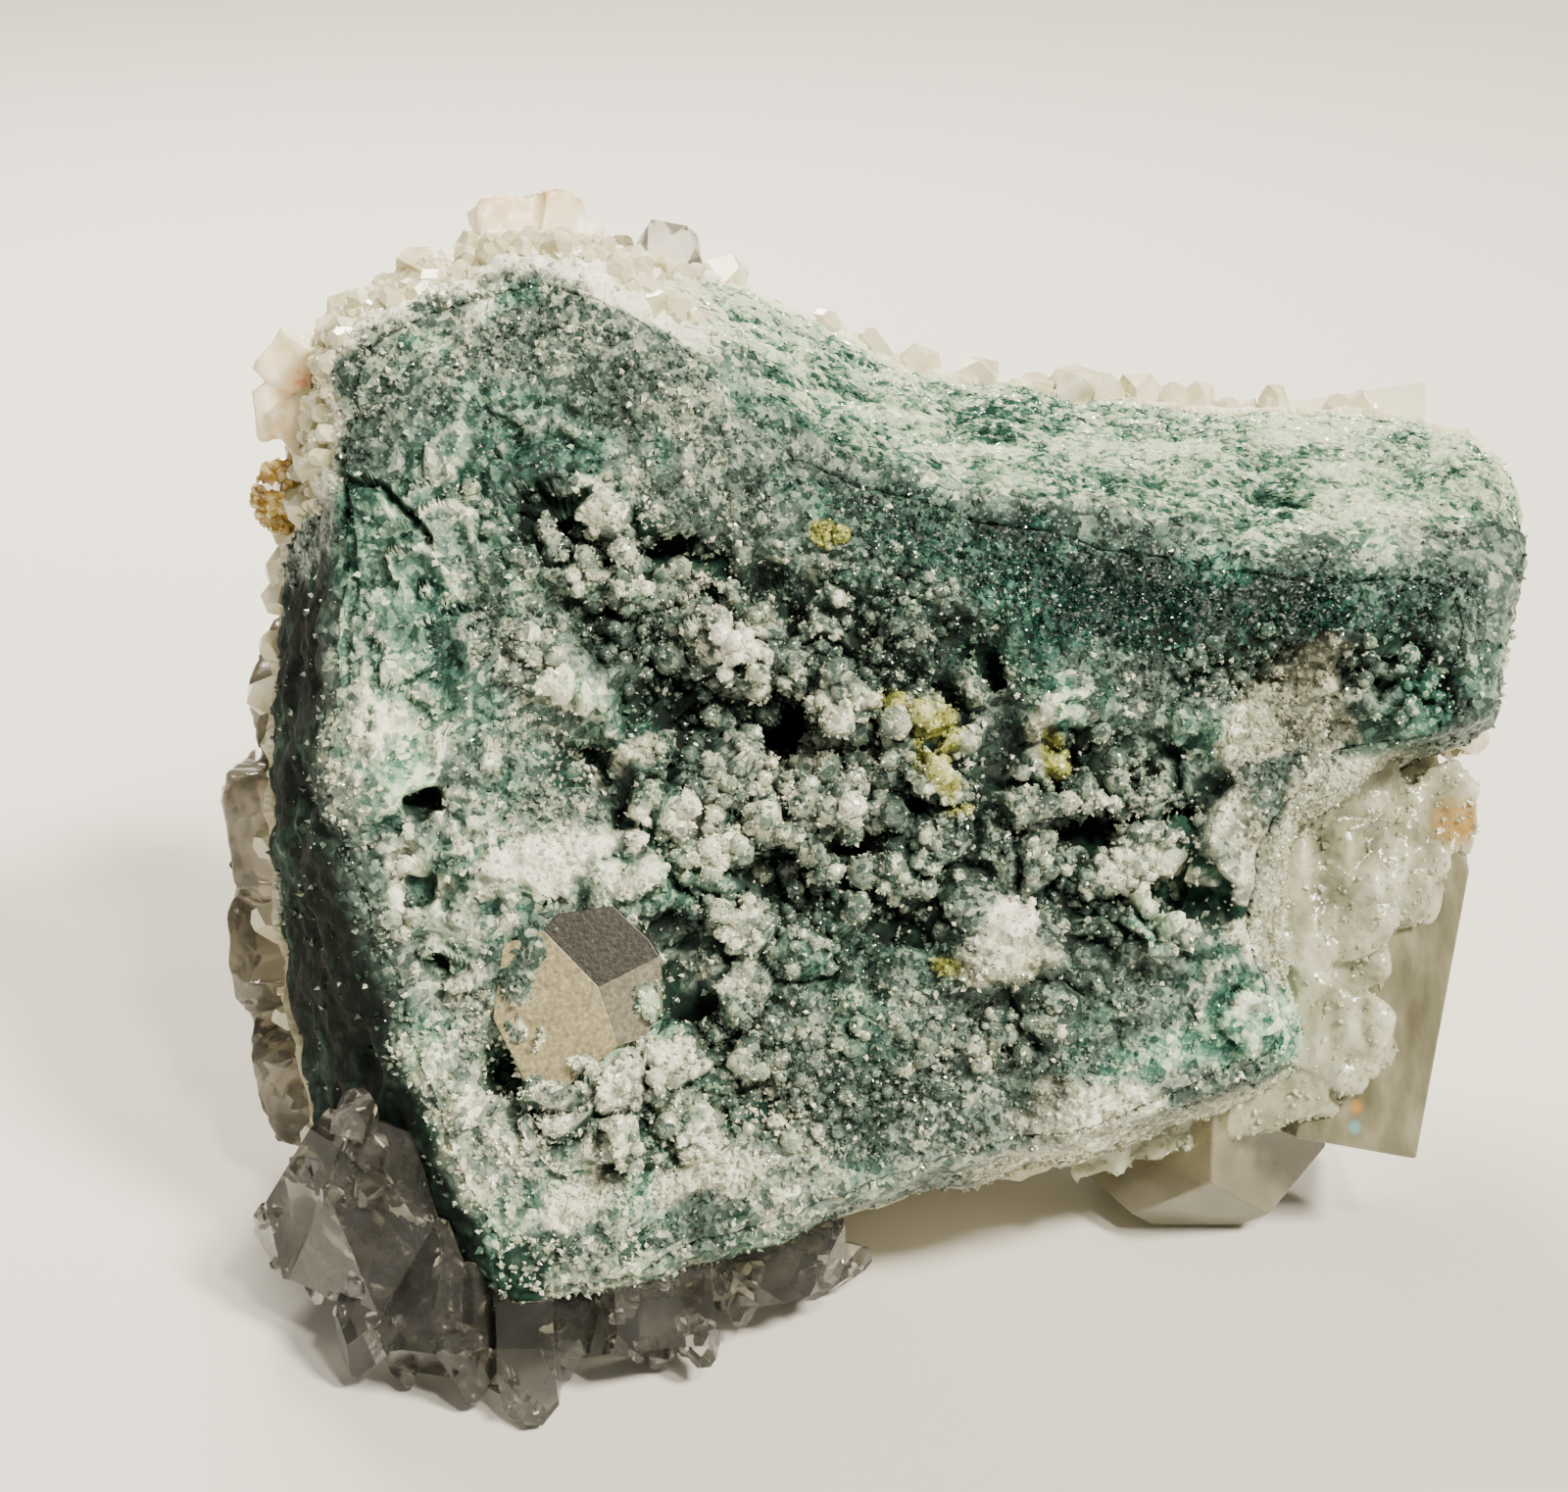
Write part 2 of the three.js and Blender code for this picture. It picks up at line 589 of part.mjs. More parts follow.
// Everything above the ground
function aboveGround() {
  const block = new THREE.BoxGeometry(400, 400, 200);
  block.translate(0, 0, 100);
  return solidOf(block);
}

const ground = aboveGround();
const model = new THREE.Group();

// Leans a solid back, cuts it off at the ground and adds it as a named mesh
function addPiece(name, solid, colour, roughness) {
  const placed = solidOf(geometryOf(solid).applyMatrix4(standing)).intersect(ground);
  const material = new THREE.MeshStandardMaterial({ color: colour, roughness, metalness: 0 });
  const mesh = new THREE.Mesh(geometryOf(placed), material);
  mesh.name = name;
  model.add(mesh);
}

const base = rockAndCrust();
const clearOfBase = (solid) => solid.subtract(base);

const crystals = [
  ["corner_cluster", cluster(CORNER_CLUSTER), 0xb9b4a6, 0.15],
  ["right_crystals", cluster(RIGHT_CRYSTALS), 0xc4c2b4, 0.2],
  ["left_crystals", cluster(LEFT_CRYSTALS), 0x8a7c66, 0.25],
  ["stilbite_sheaf", stilbiteSheaf(), 0xe5d2c4, 0.5],
  ["golden_crystals", goldenCrystals(), 0xb08a3a, 0.3],
  ["cream_blocks", cluster(CREAM_BLOCKS), 0xe8e0d0, 0.5],
  ["clear_top_pair", cluster(CLEAR_TOP_PAIR), 0xc8c8c0, 0.1],
  ["top_plate", cluster(TOP_PLATE), 0xdcd8cc, 0.3],
];
for (const [name, rows] of Object.entries(FAR_CRYSTALS)) {
  crystals.push([name, farCrystals(rows), 0xd0d2cc, 0.1]);
}

addPiece("rock", rock(), 0x5c736c, 0.6);
addPiece("crust", crust(crystals.map(([, solid]) => solid)), 0xe8e0d0, 0.7);
for (const [name, solid, colour, roughness] of crystals) {
  addPiece(name, clearOfBase(solid), colour, roughness);
}

export default model;
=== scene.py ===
# Apophyllite specimen: a slab of green, quartz-lined cavity rock leaning back on its crystals.
# The stone is worked out as it is looked at, in millimetres: x to the right, y away from the viewer
# and z up the view. `standing` leans it back and gives metres in the frame.
import itertools
import json
import math
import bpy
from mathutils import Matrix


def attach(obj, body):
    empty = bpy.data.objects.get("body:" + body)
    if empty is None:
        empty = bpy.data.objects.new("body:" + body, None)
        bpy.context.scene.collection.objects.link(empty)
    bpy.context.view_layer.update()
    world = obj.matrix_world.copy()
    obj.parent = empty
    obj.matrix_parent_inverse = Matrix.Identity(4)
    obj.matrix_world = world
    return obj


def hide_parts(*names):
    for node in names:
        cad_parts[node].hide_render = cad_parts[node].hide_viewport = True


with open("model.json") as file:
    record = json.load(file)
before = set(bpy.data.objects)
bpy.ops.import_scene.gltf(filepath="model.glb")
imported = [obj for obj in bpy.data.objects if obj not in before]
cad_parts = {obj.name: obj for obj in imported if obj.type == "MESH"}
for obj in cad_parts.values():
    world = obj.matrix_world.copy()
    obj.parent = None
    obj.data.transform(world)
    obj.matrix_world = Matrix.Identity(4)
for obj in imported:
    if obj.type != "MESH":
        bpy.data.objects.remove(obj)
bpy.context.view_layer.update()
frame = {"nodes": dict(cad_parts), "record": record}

from types import SimpleNamespace

import bmesh
import bpy
import numpy as np
from mathutils import Quaternion, Vector

bl_info = {
    "name": "Apophyllite Specimen",
    "version": (1, 0, 0),
    "blender": (4, 5, 0),
    "location": "View3D > Sidebar > Specimen",
    "description": "Dresses a crystal specimen: rock, crust, druse and clear crystals",
    "category": "Object",
}

MM = 0.001

# How the stone stands: leaned back by LEAN, with the view's origin this many millimetres above the
# ground, and with the middle (x, y) of its footprint at the frame's origin
LEAN = math.radians(24.5)
VIEW_HEIGHT = 49.3
FOOTPRINT_MIDDLE = (6.64, 17.57)

# The rock's outline, clockwise from the left: edge of the front face (x, z), widest line behind it
# (x, z, depth y), and how softly the front edge is rounded
ROCK_OUTLINE = np.array([
    [-36.0, 9.5, -43.5, 10.0, 18, 0.10],
    [-35.5, 23.0, -42.0, 23.5, 16, 0.10],
    [-35.5, 33.0, -38.0, 35.0, 12, 0.12],
    [-26.5, 37.5, -27.5, 39.5, 11, 0.16],
    [-20.0, 39.5, -22.0, 43.0, 12, 0.24],
    [-12.5, 36.5, -14.0, 42.5, 15, 0.32],
    [-6.5, 30.5, -5.0, 40.5, 18, 0.34],
    [0.0, 24.5, 4.5, 36.5, 20, 0.36],
    [9.5, 21.0, 13.5, 32.5, 21, 0.36],
    [21.0, 18.5, 23.0, 31.5, 22, 0.36],
    [33.0, 15.5, 36.0, 30.5, 23, 0.36],
    [45.0, 13.0, 51.0, 30.5, 23, 0.36],
    [55.0, 14.0, 61.5, 27.5, 20, 0.34],
    [59.0, 12.0, 64.0, 21.0, 16, 0.30],
    [57.5, 5.5, 62.0, 10.0, 17, 0.20],
    [57.0, 2.0, 61.5, 1.5, 18, 0.20],
    [48.0, -0.5, 53.0, -2.0, 20, 0.20],
    [40.0, -6.5, 44.0, -7.5, 20, 0.20],
    [39.0, -16.0, 43.5, -18.5, 20, 0.20],
    [41.5, -24.5, 46.5, -27.5, 20, 0.20],
    [34.0, -28.0, 37.0, -31.5, 17, 0.14],
    [23.0, -32.0, 24.5, -35.0, 14, 0.12],
    [10.0, -34.5, 10.5, -37.5, 12, 0.12],
    [-3.0, -39.5, -4.0, -42.0, 9, 0.12],
    [-15.0, -43.5, -16.0, -45.5, 7, 0.10],
    [-22.0, -44.5, -25.0, -45.5, 7, 0.08],
    [-25.0, -35.5, -34.0, -41.0, 12, 0.08],
    [-29.5, -25.0, -42.5, -30.5, 19, 0.08],
    [-35.5, -11.0, -44.5, -13.5, 20, 0.10],
    [-37.0, -2.5, -45.0, -1.5, 20, 0.10],
])
# A place on the rock is (u, s). u runs round the outline, one to a station, and s runs from 0 at the
# middle of the front face, over its edge, the waist and the back's edge, to the middle of the back
STATIONS = len(ROCK_OUTLINE)
FRONT_EDGE, WAIST, BACK_EDGE, BACK_MIDDLE = 1.0, 2.0, 3.0, 4.0
# How far the rounding of a corner reaches, along u and along s
OUTLINE_SOFTNESS, EDGE_SOFTNESS = 0.35, 0.3
# The front face's middle, its depth at the view's origin and how it tilts, and the back's middle,
# its depth, and how far its edge lies behind the waist and, as a share, in from it
FRONT_FACE = {"x": 8, "z": 0, "level": 3, "tilt_x": 0.06, "tilt_z": 0.05}
BACK_DOME = {"x": 6, "z": -11, "depth": 43, "edge_depth": 13, "edge_inset": 0.2}

# Lumps and pits of the front face: x, z, half-width, half-height, turn in degrees, rise
FRONT_FORMS = [
    [0, 1, 7, 5, -20, -7],
    [-19, 18.5, 4, 3.5, 0, -3.5],
    [-8, 13.5, 4, 4, 0, -3],
    [-17.5, -1, 6, 3, -25, -4],
    [-8, -18, 4, 4, 0, -3],
    [-23, -26, 3, 4.5, 20, -4],
    [-3, -29, 5, 4, 0, -3.5],
    [33, -11.5, 7, 2.5, -20, -5],
    [31, -1.5, 6, 3, 10, -3.5],
    [43, 6, 13, 3.5, 0, -5],
    [47, 0, 3.5, 4.5, 0, -5],
    [16, 8, 4, 4, 0, -2.5],
    [8, -13.5, 5, 4, 0, -2.5],
    [17.5, -16, 8, 6, -10, 4],
    [-16, 5, 8, 3.5, -35, 2.5],
    [-12, -2.5, 5, 5, 0, 2.5],
    [-17, -8.5, 15, 4.5, 5, 2.5],
    [-13, -28.5, 12, 5, 15, 3],
    [3, -6, 5, 5, 0, 2],
    [12, -1, 6, 6, 0, 2],
    [22.5, 4, 6, 6, 0, 2],
    [29.5, -15, 4, 3.5, 0, 2.5],
    [40, -23, 6, 4, 0, 2],
    [-2, 8, 5, 4, 0, 2],
    [-32, -2, 5, 5, 0, 1.5],
    [-27, 20, 12, 14, 0, 1.5],
    [10, 13, 10, 5, -25, 1.5],
]
# Cobbles all over the rock. The crust: where along s it starts, how thick it is at the rim and
# inward, how much thicker at its corner, where along u that is and how far it spreads. The crust's
# outer face also stands off the rock by the gap
COBBLES = {"spacing": 6.5, "rise": 1.6}
CRUST = {"start": 2.08, "rim": 0.8, "full": 2.4, "corner": 2.6, "corner_station": 2.6,
         "corner_spread": 1.8}
GAP = 0.35

# Patches of colour on the front face: x, z, half-width, half-height, turn in degrees, strength
GREEN_PATCHES = [
    [-31, -2, 6, 5, 0, 1.0],
    [-16.5, 4.5, 5, 2.5, -35, 1.0],
    [-25, 3, 5, 3, 0, 0.6],
    [22.5, 3, 3, 5, 0, 0.9],
    [29.5, -14.5, 3, 3, 0, 0.9],
    [39, -22, 9, 7, 20, 1.4],
    [30, -26, 9, 4, 10, 0.9],
    [54, 3, 7, 6, 0, 1.0],
    [-27, -16, 5, 4, 0, 0.6],
    [5, 20, 9, 5, -30, 0.5],
    [-26, 20, 12, 14, 0, 0.12],
    [-22, 37.5, 7, 3.2, 20, 1.0],
    [-9, 33, 5, 3, -40, 0.8],
    [30, 12, 30, 8, -4, 1.1],
    [-30, 32, 7, 4, 30, 0.7],
    [19, 18.4, 6, 2.4, -8, 1.4],
]
PALE_PATCHES = [
    [-17, -8.5, 15, 4, 5, 1.1],
    [-28, -14, 4, 8, 20, 0.6],
    [-13, -28.5, 12, 5, 15, 1.0],
    [17.5, -16, 7, 5, -10, 1.0],
    # Painted glint: a small white patch where a crystal face catches the light
    [19, -13.2, 3.6, 2.0, -10, 0.9],
    [-10, -35, 12, 4, 10, 0.5],
    [26, -31, 14, 3, 8, 1.1],
    [38, -10, 4, 14, 0, 0.8],
    [44, 2, 6, 4, 40, 0.9],
    [24, 0, 5, 6, 0, 0.5],
    [-13, -2, 5, 4, 0, 0.5],
    [-2, 8, 4, 3, 0, 0.5],
    [8, 27, 8, 3, -35, 0.6],
    [45, 24, 16, 4, -8, 0.5],
]
# The green lobe at the lower right, whose colour goes on round the edge of the face
GREEN_LOBE = [[43, -23, 7, 6, 0, 1.2]]
# Where milky quartz has grown over the stone
MILKY_PATCHES = [
    [44.5, -14, 5, 15, 0, 1.3],
    [41.5, 3.5, 9.5, 4.2, 38, 1.4],
    [46, -3, 6, 7, 0, 1.2],
    [31, -32, 22, 7, 3, 1.6],
]
OCHRE_PATCHES = [
    [12.5, -1, 4, 6.5, 15, 1.3],
    [3.5, 17, 2, 1.6, 0, 1.2],
    [3, 6.5, 2, 1.5, 0, 1.0],
    [22, -1, 1.5, 3.5, 0, 1.1],
    [12.5, -17.5, 2, 1.5, 0, 1.1],
    [1, 14, 1.5, 1.2, 0, 0.7],
    [8, 3, 2.5, 2, 0, 0.8],
]
# Dark parts of the front face, laid on where the skin lies low: the dark stone in pits and hollows, with
# painted shade there
DARK_PATCHES = [
    [0, 1, 8, 6, -20, 1.3],
    [-19, 18.5, 4, 3, 0, 0.9],
    [-8, 13.5, 5, 4, 0, 0.8],
    [-17.5, -1, 6, 3, -25, 1.1],
    [-8, -18, 4, 4, 0, 0.8],
    [-23, -26, 3, 4, 20, 0.9],
    [-3, -29, 6, 4, 0, 0.7],
    [33, -11, 7, 2.5, -20, 1.2],
    [31, -1.5, 6, 3, 10, 0.5],
    [41, 7, 17, 4, 0, 1.0],
    [16, 9, 5, 6, 0, 0.7],
    [8, -13.5, 7, 5, 0, 0.7],
    [20, -22, 6, 3, 30, 0.9],
    [-10, 14, 10, 6, -30, 0.4],
    [-20.5, -42.5, 7, 4, 15, 1.1],
    [-9, -38.5, 9, 2, 18, 0.9],
]
# Small holes, painted black as shade: x, z, half-width, half-height, turn, rise
HOLES = [
    [-28.7, -4.6, 1.8, 1.5, 0, -4],
    [-27.6, -17.6, 2.0, 1.2, 0, -3.5],
    [-22.0, -25.9, 2.4, 1.9, 30, -5],
    [-10.2, -14.9, 2.8, 1.7, 20, -4],
    [-6.7, -20.4, 2.1, 2.2, 0, -4],
    [23.7, -2.3, 3.2, 1.5, 10, -2.4],
    [29.2, -2.3, 2.6, 1.4, 0, -2.4],
    [34.8, -3.1, 2.8, 1.6, -10, -2.6],
    [33.0, -12.6, 6.5, 1.9, -20, -3.4],
    [17.0, 5.5, 1.6, 2.8, 15, -2.6],
    [-14.0, 11.5, 2.6, 1.6, -20, -3],
    [-5.0, 3.5, 2.2, 1.5, 30, -3],
    [5.5, -9.0, 2.4, 1.6, 0, -4],
]
# Where the face is open and knobbly, and where rounded chalcedony balls grow in it
CAVITY_PATCHES = [
    [2, -4, 25, 25, 0, 1.6],
    [-10, 12, 15, 9, -30, 1.2],
    [-14, -27, 18, 12, 10, 1.2],
    [28, -8, 13, 16, 0, 1.4],
    [-28, -16, 7, 12, 20, 0.7],
    [42, 6, 16, 5, 0, 0.8],
    [-17, 17.5, 8, 6, -20, 1.1],
    [20, -22, 8, 5, 30, 1.0],
    [54, 4, 8, 8, 0, 1.0],
]
BALL_PATCHES = [
    [2, -4, 17, 19, 0, 1.4],
    [-9, 10, 12, 8, -30, 1.0],
    [26, -7, 12, 13, 0, 0.9],
    [-5, -28, 16, 9, 10, 0.7],
    [-31, -14, 6, 14, 15, 0.5],
    [-21, 8, 9, 7, 0, 0.45],
    [10, -26, 14, 8, 10, 0.45],
    [9, 13, 15, 6, -20, 0.45],
    [-26, 20, 10, 12, 0, 0.25],
    [40, -20, 6, 6, 0, 0.4],
    [-17, 16, 9, 6, -20, 0.6],
    [20, -22, 7, 5, 30, 0.5],
    [40, 7, 14, 4, 0, 0.6],
    [53, 5, 8, 8, 0, 0.7],
]
# Where the skin lies in low plates with scalloped edges
PLATE_PATCHES = [
    [-29, 0, 9, 30, 8, 1.2],
    [-20, -13, 11, 7, 0, 0.9],
    [-16, 4.5, 8, 5, -35, 1.2],
    [-22, 22, 14, 13, 0, 0.8],
    [38, -20, 10, 9, 0, 1.0],
    [24, 3, 6, 6, 0, 0.8],
]

# Lighter and darker parts of the rock, added to its tone: some are the stone's own tones, some painted
# light and shade, as marked
TONE_PATCHES = [
    # The next four rows: the dark teal stone under the top band's ledge and by the right lobe, darkened
    # further as painted shade
    [31, 10, 31, 8, -4, -0.3],
    [54, 4, 9, 10, 0, -0.4],
    [43, 3, 7, 5, 38, -0.36],
    [19, 18.4, 6, 2.4, -8, -0.6],
    [-24, 20, 14, 16, 0, -0.12],
    # Painted shade in the recess beside the milky mass
    [48, -1, 5, 5, 0, -0.3],
    [-16.5, 4.5, 6, 3.5, -35, 0.45],
    [0, -3, 14, 11, 0, 0.1],
    [6, -27, 14, 7, 10, -0.18],
    [-17, -8.5, 15, 5, 5, 0.3],
    [-22, -27, 12, 10, 10, 0.18],
    [-20, -42, 9, 4, 15, -0.25],
    [-31, 2, 7, 11, 0, 0.22],
    [34, -26, 12, 6, 10, 0.22],
    [31, -9, 8, 9, 0, 0.48],
    [12, -2, 7, 6, 0, 0.12],
    # Partly painted light, where the top band's right end catches the light
    [47, 24, 15, 6, -6, 0.5],
    # Painted glint: a small white patch where a crystal face catches the light
    [19, -13.2, 3.6, 2.0, -10, 0.3],
]

# Lower edge of the bright band along the top: places along x, and how high it is there
BAND_EDGE_X = [-30, -18, -8, 1.6, 8, 16, 28, 40, 54, 62]
BAND_EDGE_Z = [50, 44, 36, 26.5, 22.5, 20.8, 18.6, 16, 18, 19]

# Cracks of the front face: both ends (x, z), width and depth
CRACKS = [
    [-37.0, 22.5, -32.5, 20.5, 0.5, 1.6],
    [-32.5, 20.5, -28.5, 16.5, 0.45, 1.6],
    [-36.0, 22.5, -34.5, 17.0, 0.4, 1.4],
    [-34.5, 17.0, -35.0, 5.0, 0.4, 1.4],
]

# The flat-faced crystal set in the front: its place and turn, the corner (x, z) where its three faces
# meet, how far out that corner stands, and how deep the crystal is
INSET_CRYSTAL = {"x": -16, "z": -20.5, "turn": 28, "corner": (-14.8, -19.2), "proud": 1.15, "depth": 3.5}
# Each face: its outline (x, z), how it falls away along x and z, and the stops of its colour. The faces of
# the one crystal get lighter and darker colours: partly colour of their own, partly painted light and shade
# for faces that lie differently to the light
INSET_FACES = {
    "beige": ([(-19.2, -14.7), (-22.4, -15.8), (-23.2, -21.7), (-20.2, -27.6), (-17.5, -27.3),
               (-13.2, -23.9), (-14.8, -19.2)], (0.075, 0.05),
              [(0.3, "#655e45"), (0.5, "#958c6c"), (0.7, "#c3b893")]),
    "grey": ([(-14.8, -19.2), (-10.0, -16.8), (-9.7, -21.1), (-11.1, -23.3), (-13.2, -23.9)],
             (-0.054, 0.024), [(0.3, "#4f4d40"), (0.5, "#726e5d"), (0.7, "#99947e")]),
    "dark": ([(-19.2, -14.7), (-18.1, -13.4), (-13.7, -12.8), (-10.8, -15.5), (-10.0, -16.8),
              (-14.8, -19.2)], (-0.013, -0.057),
             [(0.3, "#191815"), (0.5, "#2c2a24"), (0.7, "#4a463c")]),
}

# Widths, in millimetres, of the cells that make the small relief
LOBE, KNOB, SPECK, SCALLOP, BROKEN_PLATE = 4.0, 1.7, 0.8, 3.4, 5.0
CRUST_CELL, CRUST_SPECK = 3.4, 1.5

# Lines of points: on the rock's sides and under its crust, and along and round the crust
SIDE_LINES = 36
COVERED_LINES = [2.12, 2.3, 2.6, 3.0, 3.5, 3.9]
CRUST_RIM_LINES, CRUST_BACK_LINES, CRUST_COLUMNS = 56, 44, 560
CRUST_INNER_LINES = [3.9, 3.4, 2.8, 2.35, CRUST["start"] + 0.02]

# Counts of small things, lumps on the top edge (x, width), and the pile of golden grains
SHOULDER_CRYSTALS = 520
CORNER_CRYSTALS = 120
RIDGE_CRYSTALS = 90
BAND_FLAKES = 9000
SUGAR = {"on_mass": 3600, "on_rock": 3600}
TOP_LUMPS = [(26.0, 4.2), (28.6, 4.6), (32.0, 3.6), (34.4, 3.0), (37.2, 2.5), (39.8, 2.1), (42.2, 1.7)]
GOLDEN_PILE = {"count": 170, "middle": (-42.8, 17.6, 21.4), "reach": (1.7, 2.2, 2.1)}

# Places of the milky mass's iron stain, and of the split colours in the prism
IRON_STAIN = (57.9, 17.5, -6.5)
FLECKS = (((49.0, 17.5, -30.9), "#e59a35"), ((48.9, 17.5, -32.7), "#6fc9da"))

# Crystals grown into one another: place, way they grow, turn, width, depth, length, root, taper
# and, where it isn't the usual one, slope of the end faces
RIGHT_PRISM = [[48.4, 24, -33], [0.19, 0.02, 1], 8, 11, 14, 29, 1.5, 0.7]
RIGHT_FOOT = [[36.5, 27, -30], [0, 0.12, -1], 45, 17, 17, 12, 5, 0.32, 1.9]
MILKY_BLOCKS = [
    [[46, 22, -3], [-0.1, -1, 0.1], 25, 13, 13, 7, 6, 0.7],
    [[55.6, 23.5, -5.8], [0.1, -1, 0.05], 12, 6.2, 8, 7, 6, 0.75],
    [[51.5, 22.5, -10], [0.08, -1, 0], 20, 9, 12, 7.2, 5, 0.6],
    [[45.5, 22, -13], [0.05, -1, 0], 60, 13, 13, 8, 6, 0.6],
    [[47.2, 22, -23.5], [-0.1, -1, -0.1], 20, 9, 11, 8, 6, 0.6],
    [[42, 20.5, -29.5], [-0.2, -0.8, 0], 5, 10.5, 7, 4.5, 6, 0.7],
    [[31.5, 19, -33], [0, -1, -0.1], 15, 15, 4.5, 2.5, 5, 0.8],
    [[47, 20, -16], [0.05, -1, 0], 0, 9, 27, 4, 5, 0.8],
]
LEFT_RIDGE = [
    [[-38, 28, 4], [-1, 0.2, 0.1], 30, 12, 12, 8, 5, 0.8],
    [[-39, 29, -7], [-1, 0.1, 0], 70, 12, 12, 10, 5, 0.8],
    [[-39, 30, -18], [-1, 0.15, -0.1], 20, 12, 12, 10, 5, 0.8],
    [[-38, 28, -28], [-1, 0.1, -0.3], 55, 11, 11, 9, 5, 0.7],
]

# Clear and cloudy crystals: colour in the depth, colour at the face, roughness, how much rougher the
# veil is, transmission, and absorption a metre
CLEAR_CRYSTALS = {
    "clear_apophyllite": ("#d2ccbc", "#fbfaf6", 0.04, 0.14, 0.95, 30.0),
    "milky_apophyllite": ("#e9e0c4", "#f6f0dc", 0.2, 0.3, 0.06, 20.0),
    "small_apophyllite": ("#e8e1b6", "#f7f3d8", 0.1, 0.25, 0.4, 20.0),
    "olive_foot": ("#9c9470", "#c7c0a0", 0.06, 0.2, 0.72, 90.0),
    # The corner cluster's crystals (the next two rows) are tinted darker than clear: a faint smoky tint of
    # their own, and painted shade for the shadow under the rock
    "smoky_and_shaded_quartz": ("#969382", "#fbfaf6", 0.03, 0.1, 0.97, 120.0),
    "clear_points": ("#aeaa9c", "#fbfaf6", 0.02, 0.06, 0.98, 80.0),
    "brown_smoky_apophyllite": ("#7b6f54", "#d8cfb8", 0.08, 0.25, 0.8, 170.0),
    "brown_points": ("#94886a", "#fbfaf6", 0.05, 0.15, 0.9, 110.0),
}

# The stage: half the floor's side, the colour of the lights, the place that they look at, and the
# colour and strength of the light all round
FLOOR_HALF = 12.0
LIGHT_COLOUR = "#fff6e2"
LIT_PLACE = (0, 0, 0.045)
SURROUNDINGS = ("#e8e6df", 0.3)
# Lights: kind, place, size (a sun's angle or a square's side) and power
LIGHTS = {
    "key": ("SUN", (0.42, -0.30, 0.62), math.radians(10), 6.4),
    "glint": ("AREA", (0.22, -0.42, 0.60), 0.07, 4.0),
    "rim": ("AREA", (-0.12, 0.36, 0.45), 0.2, 7.0),
}
# Where the photograph was taken from: distance to the front face in millimetres, and focal length as
# a share of the picture's width
CAMERA = {"distance": 225.0, "focal_share": 2880 / 1600}

# Columns of a point's looks that are set one by one: its green, its dark and its tone
GREEN, DARK, TONE = 0, 3, 4

# A quartz grain: a four-sided double pyramid
GRAIN = (np.array([[1, 0, 0], [0, 1, 0], [-1, 0, 0], [0, -1, 0], [0, 0, 1.4], [0, 0, -1.0]]),
         [np.array([[0, 1, 4], [1, 2, 4], [2, 3, 4], [3, 0, 4],
                    [1, 0, 5], [2, 1, 5], [3, 2, 5], [0, 3, 5]])])


# Shape of the rock

def wrap_rows(rows, index):
    """Rows by number, counted on round the closed outline."""
    return rows[np.mod(index, len(rows))]


def outline_at(u):
    """The outline's values at places u: straight runs between stations whose corners are rounded by
    adding bend * reach^2 / (4 softness), where bend is the turn at the nearest station."""
    low = np.floor(u).astype(int)
    near = np.round(u).astype(int)
    part = (u - low)[..., None]
    straight = wrap_rows(ROCK_OUTLINE, low) * (1 - part) + wrap_rows(ROCK_OUTLINE, low + 1) * part
    bend = (wrap_rows(ROCK_OUTLINE, near + 1) - 2 * wrap_rows(ROCK_OUTLINE, near)
            + wrap_rows(ROCK_OUTLINE, near - 1))
    reach = np.maximum(0, OUTLINE_SOFTNESS - np.abs(u - near))[..., None]
    return straight + bend * reach ** 2 / (4 * OUTLINE_SOFTNESS)


def front_depth(x, z):
    """Depth of the plain front face: a plane level + tilt_x x + tilt_z z."""
    return FRONT_FACE["level"] + FRONT_FACE["tilt_x"] * x + FRONT_FACE["tilt_z"] * z


def profile_points(u):
    """Front middle, front edge, waist, back edge and back middle at places u, and the softness of
    the front edge."""
    fx, fz, wx, wz, wy, softness = np.moveaxis(outline_at(u), -1, 0)
    inset = 1 - BACK_DOME["edge_inset"]
    level = np.ones_like(u)
    middle_depth = front_depth(FRONT_FACE["x"], FRONT_FACE["z"])
    points = np.stack([
        np.stack([FRONT_FACE["x"] * level, middle_depth * level, FRONT_FACE["z"] * level], -1),
        np.stack([fx, front_depth(fx, fz), fz], -1),
        np.stack([wx, wy, wz], -1),
        np.stack([BACK_DOME["x"] + (wx - BACK_DOME["x"]) * inset, wy + BACK_DOME["edge_depth"],
                  BACK_DOME["z"] + (wz - BACK_DOME["z"]) * inset], -1),
        np.stack([BACK_DOME["x"] * level, BACK_DOME["depth"] * level, BACK_DOME["z"] * level], -1),
    ])
    return points, softness


def pick(points, index):
    """points[index] for each place, where index holds one knot number a place."""
    spots = np.broadcast_to(index[None, ..., None], (1,) + index.shape + (3,))
    return np.take_along_axis(points, spots, 0)[0]


